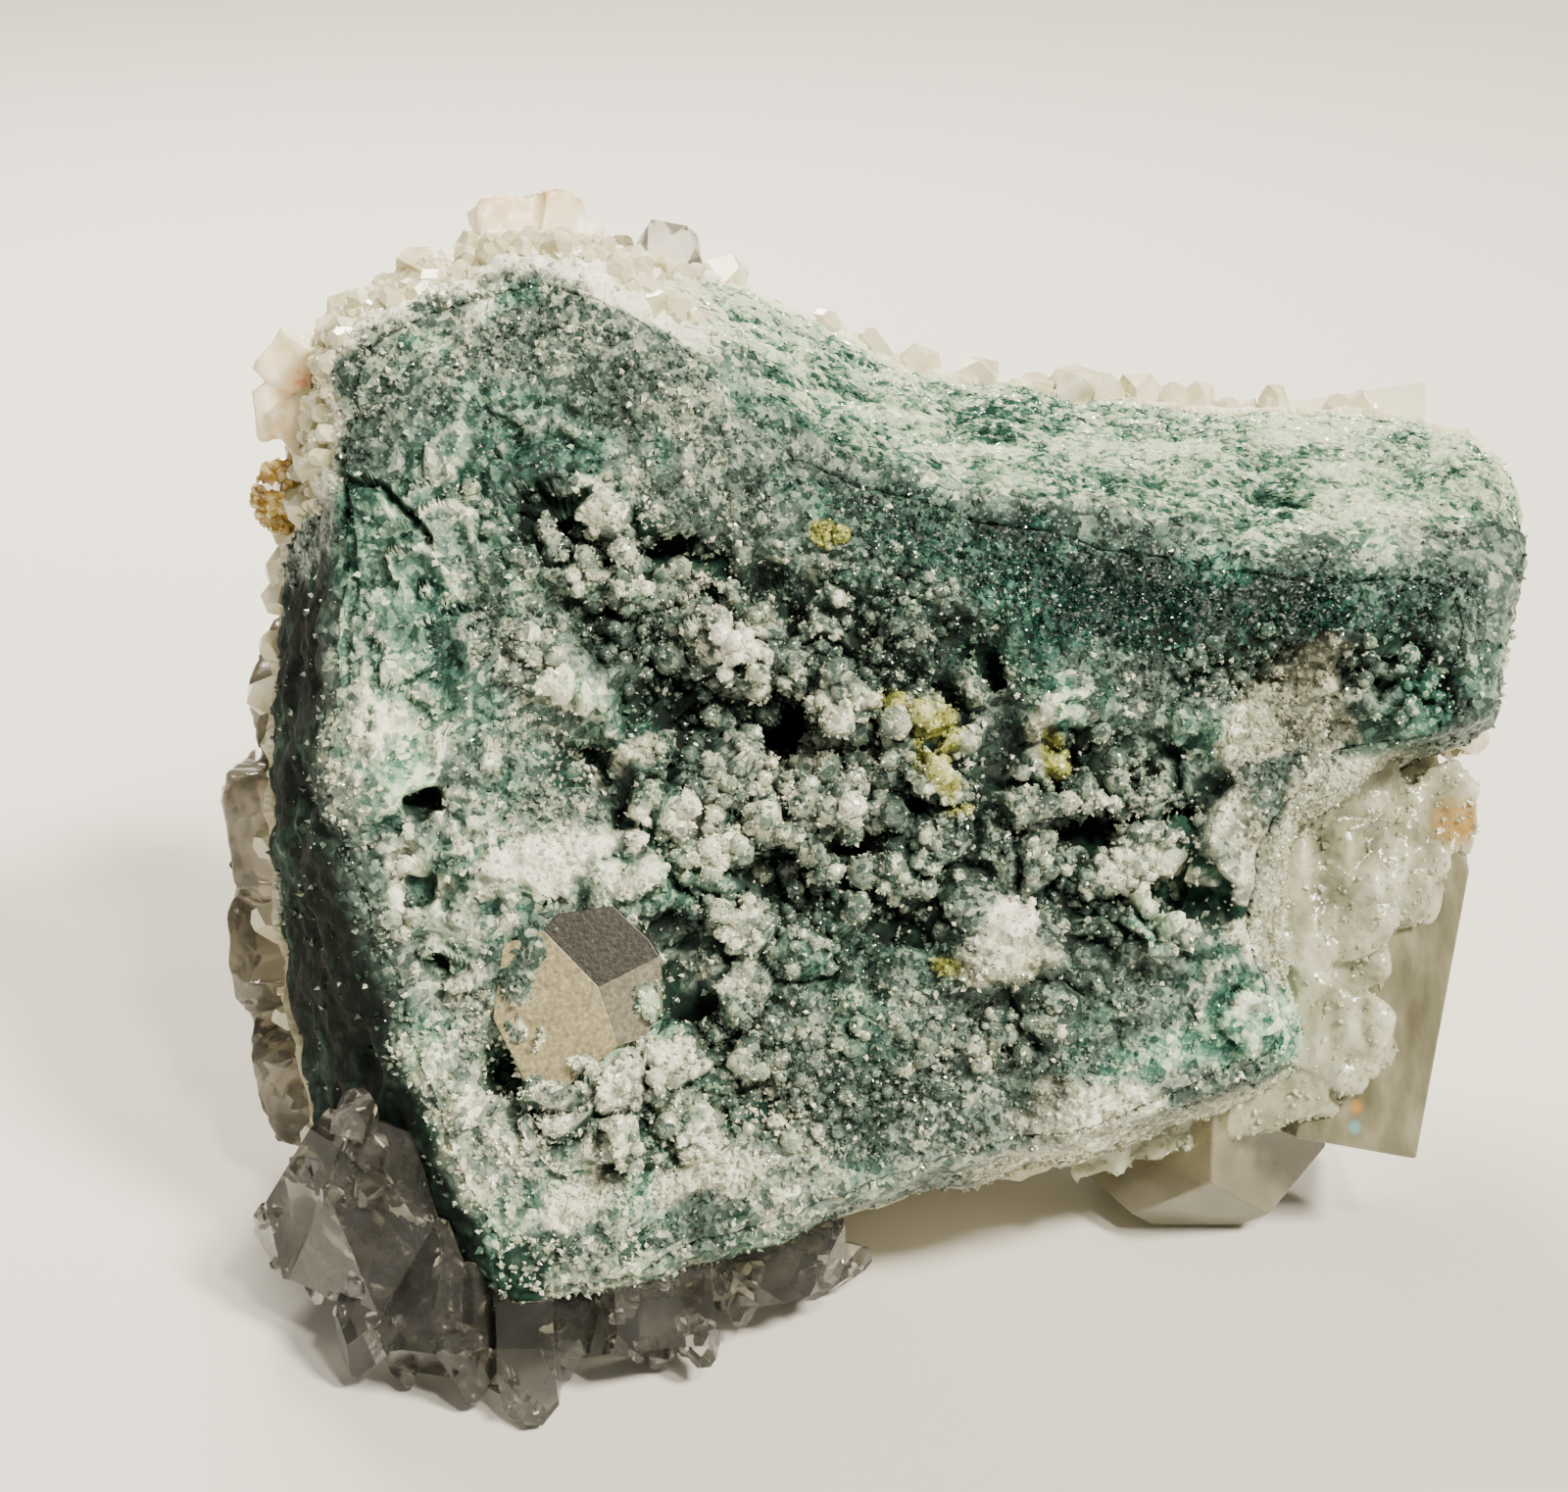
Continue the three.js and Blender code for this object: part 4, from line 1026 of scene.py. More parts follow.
def points_of(mesh):
    """A mesh's points as an array with one row each."""
    co = np.empty(len(mesh.vertices) * 3, np.float32)
    mesh.vertices.foreach_get("co", co)
    return co.reshape(-1, 3)


def weathered(name, mesh, voxel_mm, smoothing, rise, material):
    """Crystals grown into one lumpy body: a mesh of them gets one skin of small squares, which is
    smoothed and moved along its normals by rise(place), in millimetres, and stands on the ground.
    Its tone follows the relief, lighter where the skin stands out and darker in its hollows, as
    painted light and shade."""
    rough = placed(name, mesh, material)
    skin = rough.modifiers.new("skin", "REMESH")
    skin.mode = "VOXEL"
    skin.voxel_size = voxel_mm * MM
    soft = rough.modifiers.new("soft", "SMOOTH")
    soft.factor = 0.5
    soft.iterations = smoothing
    mesh = bpy.data.meshes.new_from_object(rough.evaluated_get(bpy.context.evaluated_depsgraph_get()))
    bpy.data.objects.remove(rough)
    co = points_of(mesh)
    normals = np.empty(co.size, np.float32)
    mesh.vertex_normals.foreach_get("vector", normals)
    height = rise(co / MM)
    co = co + normals.reshape(-1, 3) * height[:, None] * MM
    co[:, 2] = np.maximum(co[:, 2], 0)
    mesh.vertices.foreach_set("co", co.astype(np.float32).ravel())
    mesh.polygons.foreach_set("use_smooth", np.ones(len(mesh.polygons), bool))
    # Painted light and shade: the tone is lighter on lumps and darker in hollows
    tone = mesh.attributes.new("tone", "FLOAT", "POINT")
    tone.data.foreach_set("value", (0.5 + 0.3 * height).astype(np.float32))
    mesh.update()
    mesh.name = name
    return placed(name, mesh, material)


def slant(mesh, drop_mm):
    """Lowers the upper half of a plate by drop_mm at its left end, falling to nothing at its right."""
    co = points_of(mesh)
    low, high = co.min(0), co.max(0)
    upper = co[:, 2] > (low[2] + high[2]) / 2
    co[:, 2] -= drop_mm * MM * upper * (high[0] - co[:, 0]) / (high[0] - low[0])
    mesh.vertices.foreach_set("co", co.ravel())
    mesh.update()


def surface_places(piece, random, count, least_height=1.0):
    """Random places on a piece, in millimetres of the standing frame, with the normals there:
    triangles are drawn by area, and in each a place by two shares of its edges."""
    mesh = piece.data
    mesh.calc_loop_triangles()
    triangles = np.empty(len(mesh.loop_triangles) * 3, np.int32)
    mesh.loop_triangles.foreach_get("vertices", triangles)
    corners = points_of(mesh)[triangles.reshape(-1, 3)] / MM
    first, second = corners[:, 1] - corners[:, 0], corners[:, 2] - corners[:, 0]
    normal = np.cross(first, second)
    area = np.linalg.norm(normal, axis=-1)
    weight = area * (corners.mean(1)[:, 2] > least_height)
    chosen = random.choice(len(area), count, p=weight / weight.sum())
    a, b = random.random((2, count, 1))
    a, b = np.where(a + b > 1, 1 - a, a), np.where(a + b > 1, 1 - b, b)
    return corners[chosen, 0] + a * first[chosen] + b * second[chosen], normal[chosen] / area[chosen, None]


def small_crystals(name, random, place, normal, width, taper, material):
    """Small crystals at places of the standing frame, in millimetres, cut off flat by the ground."""
    frames = leaning_frames(random, normal, 0.4)
    length = width * (0.7 + 0.6 * random.random(len(place)))
    return small_copies(name, crystal_template(taper), place, frames, np.stack([width, width, length], -1),
                        material, settle=above_ground)


def whole_faces(node):
    """A copy of a solid's mesh with whole flat faces."""
    body = bmesh.new()
    body.from_mesh(frame["nodes"][node].data)
    bmesh.ops.remove_doubles(body, verts=body.verts, dist=1e-6)
    bmesh.ops.dissolve_limit(body, angle_limit=math.radians(1.5), verts=body.verts, edges=body.edges)
    mesh = bpy.data.meshes.new(node + "_grown")
    body.to_mesh(mesh)
    body.free()
    return mesh


def grown_copy(node, material, bevel_mm):
    """A copy of a solid with narrow flats along its edges."""
    return bevelled(placed(node + "_grown", whole_faces(node), material), bevel_mm)


# Materials

def linear(hex_colour):
    """An sRGB hex colour as linear RGBA."""
    parts = [int(hex_colour[i:i + 2], 16) / 255 for i in (1, 3, 5)]
    return tuple(c / 12.92 if c <= 0.04045 else ((c + 0.055) / 1.055) ** 2.4 for c in parts) + (1.0,)


def per(size_mm):
    """The texture scale at which one cell is size_mm wide."""
    return 1 / (size_mm * MM)


def add_node(tree, kind, settings=None, links=None, out=0):
    """Adds a shader node and gives one of its outputs. `settings` sets its properties by name, its
    inputs by name or number and a ramp's stops, and `links` joins outputs to its inputs."""
    node = tree.nodes.new("ShaderNode" + kind)
    for key, value in (settings or {}).items():
        if key == "stops":
            elements = node.color_ramp.elements
            while len(elements) < len(value):
                elements.new(0.5)
            for element, (place, colour) in zip(elements, value):
                element.position = place
                element.color = linear(colour)
        elif isinstance(key, str) and hasattr(node, key):
            setattr(node, key, value)
        else:
            node.inputs[key].default_value = value
    for key, output in (links or {}).items():
        tree.links.new(output, node.inputs[key])
    return node.outputs[out] if node.outputs else node


def new_material(name):
    """An empty node material, its tree, and the place of each point on the object."""
    material = bpy.data.materials.new(name)
    material.use_nodes = True
    tree = material.node_tree
    tree.nodes.clear()
    return material, tree, add_node(tree, "TexCoord", out=3)


def finish_surface(tree, settings, links, volume=None):
    """Joins the surface, and a volume where there is one, to the material's output."""
    ends = {"Surface": add_node(tree, "BsdfPrincipled", settings, links)}
    if volume is not None:
        ends["Volume"] = volume
    add_node(tree, "OutputMaterial", links=ends)


def stirred(tree, tone, pattern, share):
    """A tone with a pattern from 0 to 1 worked into it: tone + share (pattern - 1/2)."""
    tone = add_node(tree, "Math", {"operation": "MULTIPLY_ADD", 1: share}, {0: pattern, 2: tone})
    return add_node(tree, "Math", {"operation": "SUBTRACT", 1: share / 2}, {0: tone})


def spotted(tree, place, colour, middle, hue, reach_mm):
    """A colour with a small spot of another about the place `middle`, strongest within reach_mm[0]
    and gone beyond reach_mm[1]."""
    away = add_node(tree, "VectorMath", {"operation": "DISTANCE", 1: tuple(standing(middle))},
                    {0: place}, out=1)
    share = add_node(tree, "MapRange", {"From Min": reach_mm[1] * MM, "From Max": reach_mm[0] * MM},
                     {"Value": away})
    return add_node(tree, "Mix", {"data_type": "RGBA", 7: linear(hue)}, {0: share, 6: colour}, out=2)


def stained_colour(tree, place, colours):
    """Colour of the stone: grey-green grains of 0.7 mm in several tones, with green, pale, ochre
    and dark parts laid over them by the attribute zones. The dark parts are the dark stone with
    painted shade in its pits, cracks and holes and on its left side."""
    grain = add_node(tree, "TexVoronoi", {"Scale": per(0.7)}, {"Vector": place}, out=1)
    grain = add_node(tree, "SeparateColor", links={"Color": grain})
    cloud = add_node(tree, "TexNoise", {"Scale": per(1.6), "Detail": 5.0, "Roughness": 0.7},
                     {"Vector": place})
    tone = add_node(tree, "Attribute", {"attribute_name": "tone"}, out=2)
    tone = stirred(tree, stirred(tree, tone, grain, 0.38), cloud, 0.5)
    zones = add_node(tree, "Attribute", {"attribute_name": "zones"})
    # The fourth share, the dark one, is partly the dark stone and partly painted shade
    stain = add_node(tree, "Attribute", {"attribute_name": "zones"}, out=3)
    shares = [add_node(tree, "SeparateColor", links={"Color": zones}, out=n) for n in range(3)]
    body = [(0.1, "#15201b"), (0.3, "#2b3b34"), (0.46, colours.rock_hex), (0.61, "#77877a"),
            (0.77, "#aeb49d"), (0.92, "#f2f1df")]
    green = [(0.12, "#0c241e"), (0.34, "#234c41"), (0.5, colours.green_hex), (0.67, "#90b499"),
             (0.86, "#dcebd0")]
    pale = [(0.1, "#53564a"), (0.34, "#9da08b"), (0.52, "#c5c7b1"), (0.75, "#f1f2e3")]
    ochre = [(0.2, "#33371c"), (0.42, "#777b3c"), (0.62, "#a5a656"), (0.85, "#d8d99c")]
    dark = [(0.15, "#050f0b"), (0.45, "#0a2018"), (0.64, "#12352a"), (0.8, "#3d564a"), (0.92, "#b0bca9")]
    colour = add_node(tree, "ValToRGB", {"stops": body}, {"Fac": tone})
    for share, stops in zip((*shares, stain), (green, pale, ochre, dark)):
        over = add_node(tree, "ValToRGB", {"stops": stops}, {"Fac": tone})
        colour = add_node(tree, "Mix", {"data_type": "RGBA"}, {0: share, 6: colour, 7: over}, out=2)
    return colour


def quartz_coated_rock(colours):
    """Celadonite-stained basalt, coated with fine quartz that grew in a cavity: a rough stone whose
    tiny crystal faces glint. Its dark parts are smoother and duller."""
    material, tree, place = new_material("quartz_coated_rock")
    dark = add_node(tree, "Attribute", {"attribute_name": "zones"}, out=3)
    coat = add_node(tree, "MapRange", {"To Min": 1.0, "To Max": 0.25}, {"Value": dark})
    facets = add_node(tree, "TexVoronoi", {"Scale": per(0.55)}, {"Vector": place})
    fine = add_node(tree, "TexNoise", {"Scale": per(0.3), "Detail": 3.0}, {"Vector": place})
    relief = add_node(tree, "Bump", {"Distance": 0.2 * MM}, {"Height": facets, "Strength": coat})
    relief = add_node(tree, "Bump", {"Distance": 0.06 * MM},
                      {"Height": fine, "Normal": relief, "Strength": coat})
    patchy = add_node(tree, "TexNoise", {"Scale": per(1.2)}, {"Vector": place})
    gloss = add_node(tree, "MapRange", {"From Min": 0.4, "From Max": 0.65, "To Min": 0.2, "To Max": 0.55},
                     {"Value": patchy})
    gloss = add_node(tree, "Math", {"operation": "MULTIPLY_ADD", 1: 0.7, "use_clamp": True},
                     {0: dark, 2: gloss})
    finish_surface(tree, {"IOR": 1.54, "Specular IOR Level": 0.25},
                   {"Base Color": stained_colour(tree, place, colours), "Roughness": gloss,
                    "Normal": relief})
    return material


def quartz_druse(colours, name, roughness):
    """Quartz crystals a few tenths of a millimetre long: the stain seen through glassy faces."""
    material, tree, place = new_material(name)
    fine = add_node(tree, "TexVoronoi", {"Scale": per(0.45)}, {"Vector": place})
    relief = add_node(tree, "Bump", {"Distance": 0.1 * MM, "Strength": 0.6}, {"Height": fine})
    finish_surface(tree, {"IOR": 1.54, "Roughness": roughness, "Transmission Weight": 0.1},
                   {"Base Color": stained_colour(tree, place, colours), "Normal": relief})
    return material


def drusy_crust(colours):
    """Stilbite and chalcedony crust, grown as fine pearly crystals: matt cream with coral tints."""
    material, tree, place = new_material("drusy_cream_crust")
    cloud = add_node(tree, "TexNoise", {"Scale": per(2.5), "Detail": 4.0, "Roughness": 0.6},
                     {"Vector": place})
    tone = stirred(tree, add_node(tree, "Attribute", {"attribute_name": "tone"}, out=2), cloud, 0.8)
    cream = [(0.2, "#a09778"), (0.4, "#cac19c"), (0.55, colours.cream_hex), (0.75, "#f8f5e0")]
    coral = [(0.3, "#a5694c"), (0.6, "#d7a68c"), (0.8, "#e9cfc0")]
    body = add_node(tree, "ValToRGB", {"stops": cream}, {"Fac": tone})
    warm = add_node(tree, "ValToRGB", {"stops": coral}, {"Fac": tone})
    drift = add_node(tree, "TexNoise", {"Scale": per(13.0), "Detail": 2.0}, {"Vector": place})
    share = add_node(tree, "MapRange", {"From Min": 0.64, "From Max": 0.76}, {"Value": drift})
    colour = add_node(tree, "Mix", {"data_type": "RGBA"}, {0: share, 6: body, 7: warm}, out=2)
    facets = add_node(tree, "TexVoronoi", {"Scale": per(0.6)}, {"Vector": place})
    relief = add_node(tree, "Bump", {"Distance": 0.2 * MM}, {"Height": facets})
    finish_surface(tree, {"IOR": 1.5, "Roughness": 0.42, "Subsurface Weight": 0.1},
                   {"Base Color": colour, "Normal": relief})
    return material


def clear_crystal(name):
    """Apophyllite or quartz, grown with flat natural faces: see-through, with a pearly veil in parts
    and faint growth steps of 1.5 mm. Its values stand in CLEAR_CRYSTALS."""
    tint, body, roughness, veil, transmission, density = CLEAR_CRYSTALS[name]
    material, tree, place = new_material(name)
    stretched = add_node(tree, "Mapping", {"Scale": (1.0, 1.0, 0.22)}, {"Vector": place})
    growth = add_node(tree, "TexNoise", {"Scale": per(1.5), "Detail": 3.0}, {"Vector": stretched})
    fine = add_node(tree, "TexNoise", {"Scale": per(0.5), "Detail": 3.0}, {"Vector": place})
    relief = add_node(tree, "Bump", {"Distance": 0.08 * MM, "Strength": 0.45}, {"Height": growth})
    relief = add_node(tree, "Bump", {"Distance": 0.03 * MM, "Strength": 0.4},
                      {"Height": fine, "Normal": relief})
    cloud = add_node(tree, "TexNoise", {"Scale": per(4.5), "Detail": 4.0}, {"Vector": place})
    rough = add_node(tree, "MapRange", {"From Min": 0.42, "From Max": 0.68, "To Min": roughness,
                                        "To Max": roughness + veil}, {"Value": cloud})
    colour = add_node(tree, "ValToRGB", {"stops": [(0.4, body), (0.72, tint)]}, {"Fac": cloud})
    absorb = add_node(tree, "VolumeAbsorption", {"Color": linear(tint), "Density": density})
    finish_surface(tree, {"IOR": 1.535, "Transmission Weight": transmission},
                   {"Base Color": colour, "Roughness": rough, "Normal": relief}, absorb)
    return material


def milky_quartz(name, transmission, stain=None):
    """Massive quartz and apophyllite grown together: cloudy, wet-looking, sugary where it broke, and
    in one place stained orange by iron. Where the tone attribute follows the relief, as on the mass,
    it brings in painted light and shade."""
    material, tree, place = new_material(name)
    cloud = add_node(tree, "TexNoise", {"Scale": per(4.0), "Detail": 5.0, "Roughness": 0.6},
                     {"Vector": place})
    tone = stirred(tree, add_node(tree, "Attribute", {"attribute_name": "tone"}, out=2), cloud, 0.9)
    milk = [(0.15, "#6f705a"), (0.35, "#a5a68b"), (0.5, "#c6c6aa"), (0.7, "#e0e0c9"), (0.9, "#f8f8ec")]
    colour = add_node(tree, "ValToRGB", {"stops": milk}, {"Fac": tone})
    if stain:
        colour = spotted(tree, place, colour, stain, "#c9a45c", (1.0, 3.0))
    facets = add_node(tree, "TexVoronoi", {"Scale": per(0.7)}, {"Vector": place})
    relief = add_node(tree, "Bump", {"Distance": 0.16 * MM, "Strength": 0.5}, {"Height": facets})
    finish_surface(tree, {"IOR": 1.54, "Roughness": 0.2, "Transmission Weight": transmission,
                          "Subsurface Weight": 0.2, "Subsurface Scale": 2.0 * MM},
                   {"Base Color": colour, "Normal": relief})
    return material


def striated_prism():
    """A tall apophyllite prism: olive, cloudy inside, glossy, with fine growth lines 0.5 mm apart
    along it, and a small fleck near its foot where a crack splits the light into two colours."""
    material, tree, place = new_material("striated_prism")
    turned = add_node(tree, "Mapping", {"Rotation": (LEAN, math.radians(-11.0), 0),
                                        "Scale": (1.0, 1.0, 0.04)}, {"Vector": place})
    lines = add_node(tree, "TexNoise", {"Scale": per(0.5), "Detail": 2.0}, {"Vector": turned})
    broad = add_node(tree, "TexNoise", {"Scale": per(2.4), "Detail": 3.0}, {"Vector": turned})
    stops = [(0.3, "#625f4a"), (0.5, "#7c7962"), (0.7, "#99957c")]
    colour = add_node(tree, "ValToRGB", {"stops": stops}, {"Fac": broad})
    for middle, hue in FLECKS:
        colour = spotted(tree, place, colour, middle, hue, (0.1, 0.9))
    relief = add_node(tree, "Bump", {"Distance": 0.1 * MM, "Strength": 0.7}, {"Height": lines})
    finish_surface(tree, {"IOR": 1.535, "Roughness": 0.16, "Transmission Weight": 0.3},
                   {"Base Color": colour, "Normal": relief})
    return material


def tinted_crystal(name, stops, cloud, surface, grooves=None):
    """A crystal coloured by a soft cloud of noise. `grooves` are its relief: the noise, how it is
    drawn out along z, and the bump."""
    material, tree, place = new_material(name)
    cloud = add_node(tree, "TexNoise", cloud, {"Vector": place})
    links = {"Base Color": add_node(tree, "ValToRGB", {"stops": stops}, {"Fac": cloud})}
    if grooves:
        noise, along, bump = grooves
        stretched = add_node(tree, "Mapping", {"Scale": (1.0, 1.0, along)}, {"Vector": place})
        height = add_node(tree, "TexNoise", noise, {"Vector": stretched})
        links["Normal"] = add_node(tree, "Bump", bump, {"Height": height})
    finish_surface(tree, surface, links)
    return material


def flat_crystal_face(name, stops):
    """A broken-open apophyllite face: satin, with fine brown speckle that is a little raised."""
    speckle = {"Scale": per(0.4), "Detail": 5.0, "Roughness": 0.7}
    return tinted_crystal(name, stops, speckle,
                          {"IOR": 1.535, "Roughness": 0.32, "Transmission Weight": 0.1},
                          (speckle, 1.0, {"Distance": 0.06 * MM, "Strength": 0.8}))


def pearly_blades():
    """Stilbite, grown as thin blades: pearly cream with a coral foot, and fibres along it."""
    stops = [(0.31, "#d4805c"), (0.38, "#e9c79b"), (0.47, "#efdfb9"), (0.7, "#faf3dd")]
    return tinted_crystal("stilbite_blades", stops, {"Scale": per(3.0), "Detail": 3.0},
                          {"IOR": 1.5, "Roughness": 0.35, "Subsurface Weight": 0.15},
                          ({"Scale": per(0.4), "Detail": 2.0}, 0.2,
                           {"Distance": 0.08 * MM, "Strength": 0.6}))


def golden_crystal():
    """Small iron-stained calcite crystals: glossy, brown gold."""
    stops = [(0.35, "#8f6c2a"), (0.5, "#cba955"), (0.65, "#f0dfa6")]
    return tinted_crystal("golden_calcite", stops, {"Scale": per(1.0)},
                          {"IOR": 1.55, "Roughness": 0.2, "Transmission Weight": 0.3})


def drusy_crystal(colours):
    """Small cream crystals of the crust: pearly faces over the same cream."""
    stops = [(0.3, "#cabf98"), (0.48, colours.cream_hex), (0.7, "#faf8e4")]
    return tinted_crystal("drusy_cream_crystals", stops, {"Scale": per(2.5), "Detail": 4.0},
                          {"IOR": 1.5, "Roughness": 0.25, "Transmission Weight": 0.2})


def matt_paper(colours):
    """Plain matt paper under the specimen."""
    material, tree, _ = new_material("pale_paper")
    finish_surface(tree, {"Base Color": linear(colours.floor_hex), "Roughness": 0.9}, {})
    return material


# Sizes and colours that a user would change

class SpecimenSizes(bpy.types.PropertyGroup):
    front_rings: bpy.props.IntProperty(
        name="Front rings", description="Square rings of points on the rock's front face", default=120)
    ball_count: bpy.props.IntProperty(
        name="Chalcedony balls", description="Most balls on the front face", default=1150)
    ball_radius: bpy.props.FloatProperty(
        name="Ball radius", description="Usual radius of a chalcedony ball", default=1.1 * MM,
        unit="LENGTH", subtype="DISTANCE")
    grain_count: bpy.props.IntProperty(
        name="Quartz grains", description="Small quartz crystals on the rock", default=20500)
    ball_grain_count: bpy.props.IntProperty(
        name="Grains on balls", description="Small quartz crystals on the balls", default=13000)
    grain_size: bpy.props.FloatProperty(
        name="Grain size", description="Usual half-length of a quartz grain", default=0.26 * MM,
        unit="LENGTH", subtype="DISTANCE")
    druse_count: bpy.props.IntProperty(
        name="Crust crystals", description="Small crystals on the far crust", default=2600)


class SpecimenColours(bpy.types.PropertyGroup):
    rock_hex: bpy.props.StringProperty(
        name="Rock", description="Middle tone of the grey-green rock, as sRGB hex", default="#465850")
    green_hex: bpy.props.StringProperty(
        name="Green patches", description="Middle tone of the green patches, as sRGB hex",
        default="#487563")
    cream_hex: bpy.props.StringProperty(
        name="Crust", description="Middle tone of the cream crust, as sRGB hex", default="#e8e0bc")
    floor_hex: bpy.props.StringProperty(
        name="Floor", description="The floor's colour, as sRGB hex", default="#d9d7d2")


# Operators

def ride_root(piece, slot, *replaced):
    """Attaches a piece to the one body and hides the solids that it stands for. `slot` is not used."""
    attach(piece, "root")
    for node in replaced:
        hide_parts(node)
    return piece


def square_rings(a, b):
    """For the places (a, b) of a square grid about its middle: the number of the square ring that
    they are on, the larger of |a| and |b|, and how far round it they are, from 0 to 1 clockwise as
    u runs. Each ring has eight more places than the one inside it."""
    ring = np.maximum(np.abs(a), np.abs(b))
    left = (a == -ring) & (b < ring)
    top = (b == ring) & (a < ring)
    right = (a == ring) & (b > -ring)
    around = np.select([left, top, right], [b + ring, 2 * ring + a + ring, 4 * ring + ring - b],
                       6 * ring + ring - a)
    return ring, around / (8 * np.maximum(ring, 1))


class SPECIMEN_OT_rock(bpy.types.Operator):
    """Makes the rock's skin in place of the plain solid"""
    bl_idname = "specimen.rock"
    bl_label = "Rock"

    def execute(self, context):
        half = context.scene.specimen_sizes.front_rings
        a, b = np.meshgrid(np.arange(-half, half + 1), np.arange(-half, half + 1), indexing="ij")
        ring, around = square_rings(a, b)
        front, _, front_looks = rock_skin(around * STATIONS, FRONT_EDGE * ring / half)
        columns = 8 * half
        lines = np.concatenate([np.linspace(FRONT_EDGE, WAIST, SIDE_LINES)[1:], COVERED_LINES])
        u, s = np.meshgrid(np.arange(columns) * STATIONS / columns, lines)
        sides, _, side_looks = rock_skin(u, s)
        number = np.arange(a.size).reshape(a.shape)
        edge = ring == half
        rim = number[edge][np.argsort(around[edge])]
        grid = np.stack([number[:-1, :-1], number[:-1, 1:], number[1:, 1:], number[1:, :-1]], -1)
        first = a.size + np.arange(columns)
        join = np.stack([rim, np.roll(rim, -1), np.roll(first, -1), first], -1)
        back = a.size + sides[..., 0].size
        faces = [grid.reshape(-1, 4), join, ring_faces(len(lines), columns, a.size),
                 fan_faces(back, back - columns, columns, True)]
        verts = np.concatenate([front.reshape(-1, 3), sides.reshape(-1, 3), sides[-1].mean(0)[None]])
        looks = np.concatenate([front_looks.reshape(-1, 5), side_looks.reshape(-1, 5), side_looks[-1, :1]])
        piece = add_object("rock_skin", standing(verts), faces,
                           quartz_coated_rock(context.scene.specimen_colours), True, looks)
        ride_root(piece, "green_rock", "rock")
        return {"FINISHED"}


def ball_template(random, around=8, rings=5):
    """A ball of rings of points, each moved in or out by up to a tenth."""
    lat = math.pi * (np.arange(rings) + 1) / (rings + 1)
    lon = 2 * math.pi * np.arange(around) / around
    lat, lon = np.meshgrid(lat, lon, indexing="ij")
    points = np.stack([np.sin(lat) * np.cos(lon), np.sin(lat) * np.sin(lon), np.cos(lat)], -1)
    points = np.concatenate([points.reshape(-1, 3), [[0, 0, 1.0], [0, 0, -1.0]]])
    points *= 1 + 0.1 * (2 * random.random((len(points), 1)) - 1)
    return points, [f[:, ::-1] for f in closed_faces(rings, around)]


def add_grains(name, random, size, place, normal, looks, material):
    """Small quartz crystals at the given places, leaning any way about the normal, each with a tone
    of its own. They take on little of the dark share, which is partly stain and partly painted
    shade, and a few are made bright as painted glints."""
    count = len(place)
    lean = normal + 0.7 * random.normal(size=(count, 3))
    half = size / MM * (0.5 + 1.1 * random.random(count) ** 2)
    stretch = half[:, None] * np.array([0.8, 0.8, 1.0]) * (0.8 + 0.4 * random.random((count, 3)))
    frames = frames_along(lean, random.random(count))
    looks = looks.copy()
    looks[:, TONE] += 0.22 * looks[:, DARK]
    looks[:, DARK] *= 0.35
    # About one grain in fourteen is made much lighter: painted glints
    looks[:, TONE] += 0.24 * random.random(count) ** 2 - 0.03 + 0.45 * (random.random(count) > 0.93)
    place = place + normal * (0.25 * half)[:, None]
    return small_copies(name, GRAIN, place, frames, stretch, material, looks)


class SPECIMEN_OT_balls(bpy.types.Operator):
    """Grows the chalcedony balls of the cavity, and the quartz grains on them"""
    bl_idname = "specimen.balls"
    bl_label = "Chalcedony balls"

    def execute(self, context):
        def crowded(place, s):
            return patch_share(place, s, BALL_PATCHES, 0.15, 1.0)

        sizes = context.scene.specimen_sizes
        colours = context.scene.specimen_colours
        random = np.random.default_rng(11)
        tries = sizes.ball_count * 6
        u, s = spread(random, tries, (0.02, 1.0), crowded)
        place, normal, looks = rock_skin(u, s)
        radius = (sizes.ball_radius / MM * (0.5 + 0.9 * random.random(tries) ** 1.5)
                  * (0.6 + 0.4 * crowded(place, s)))
        kept = thin_out(place, radius * 1.45, sizes.ball_count)
        place, normal, looks, radius = place[kept], normal[kept], looks[kept], radius[kept]
        count = len(kept)
        template = ball_template(random)
        frames = leaning_frames(random, np.zeros((count, 3)), 1.0)
        stretch = radius[:, None] * (0.9 + 0.2 * random.random((count, 3)))
        centres = place + normal * (radius * 0.2)[:, None]
        looks[:, DARK] *= 0.1
        looks[:, GREEN] *= 0.4 + 0.6 * smooth(place[:, 0], 42, 48)
        looks[:, TONE] = 0.24 + 0.7 * looks[:, TONE] + 0.24 * (random.random(count) - 0.5)
        piece = small_copies("chalcedony_balls", template, centres, frames, stretch,
                             quartz_druse(colours, "chalcedony_balls", 0.18), looks, True)
        ride_root(piece, "green_rock")
        ball = random.choice(count, sizes.ball_grain_count, p=radius ** 2 / (radius ** 2).sum())
        way = random.normal(size=(len(ball), 3))
        way += 0.8 * normal[ball] * np.linalg.norm(way, axis=-1, keepdims=True)
        way /= np.linalg.norm(way, axis=-1, keepdims=True)
        piece = add_grains("ball_grains", random, 0.6 * sizes.grain_size,
                           centres[ball] + way * radius[ball, None], way, looks[ball],
                           quartz_druse(colours, "ball_quartz", 0.14))
        ride_root(piece, "green_rock")
        return {"FINISHED"}


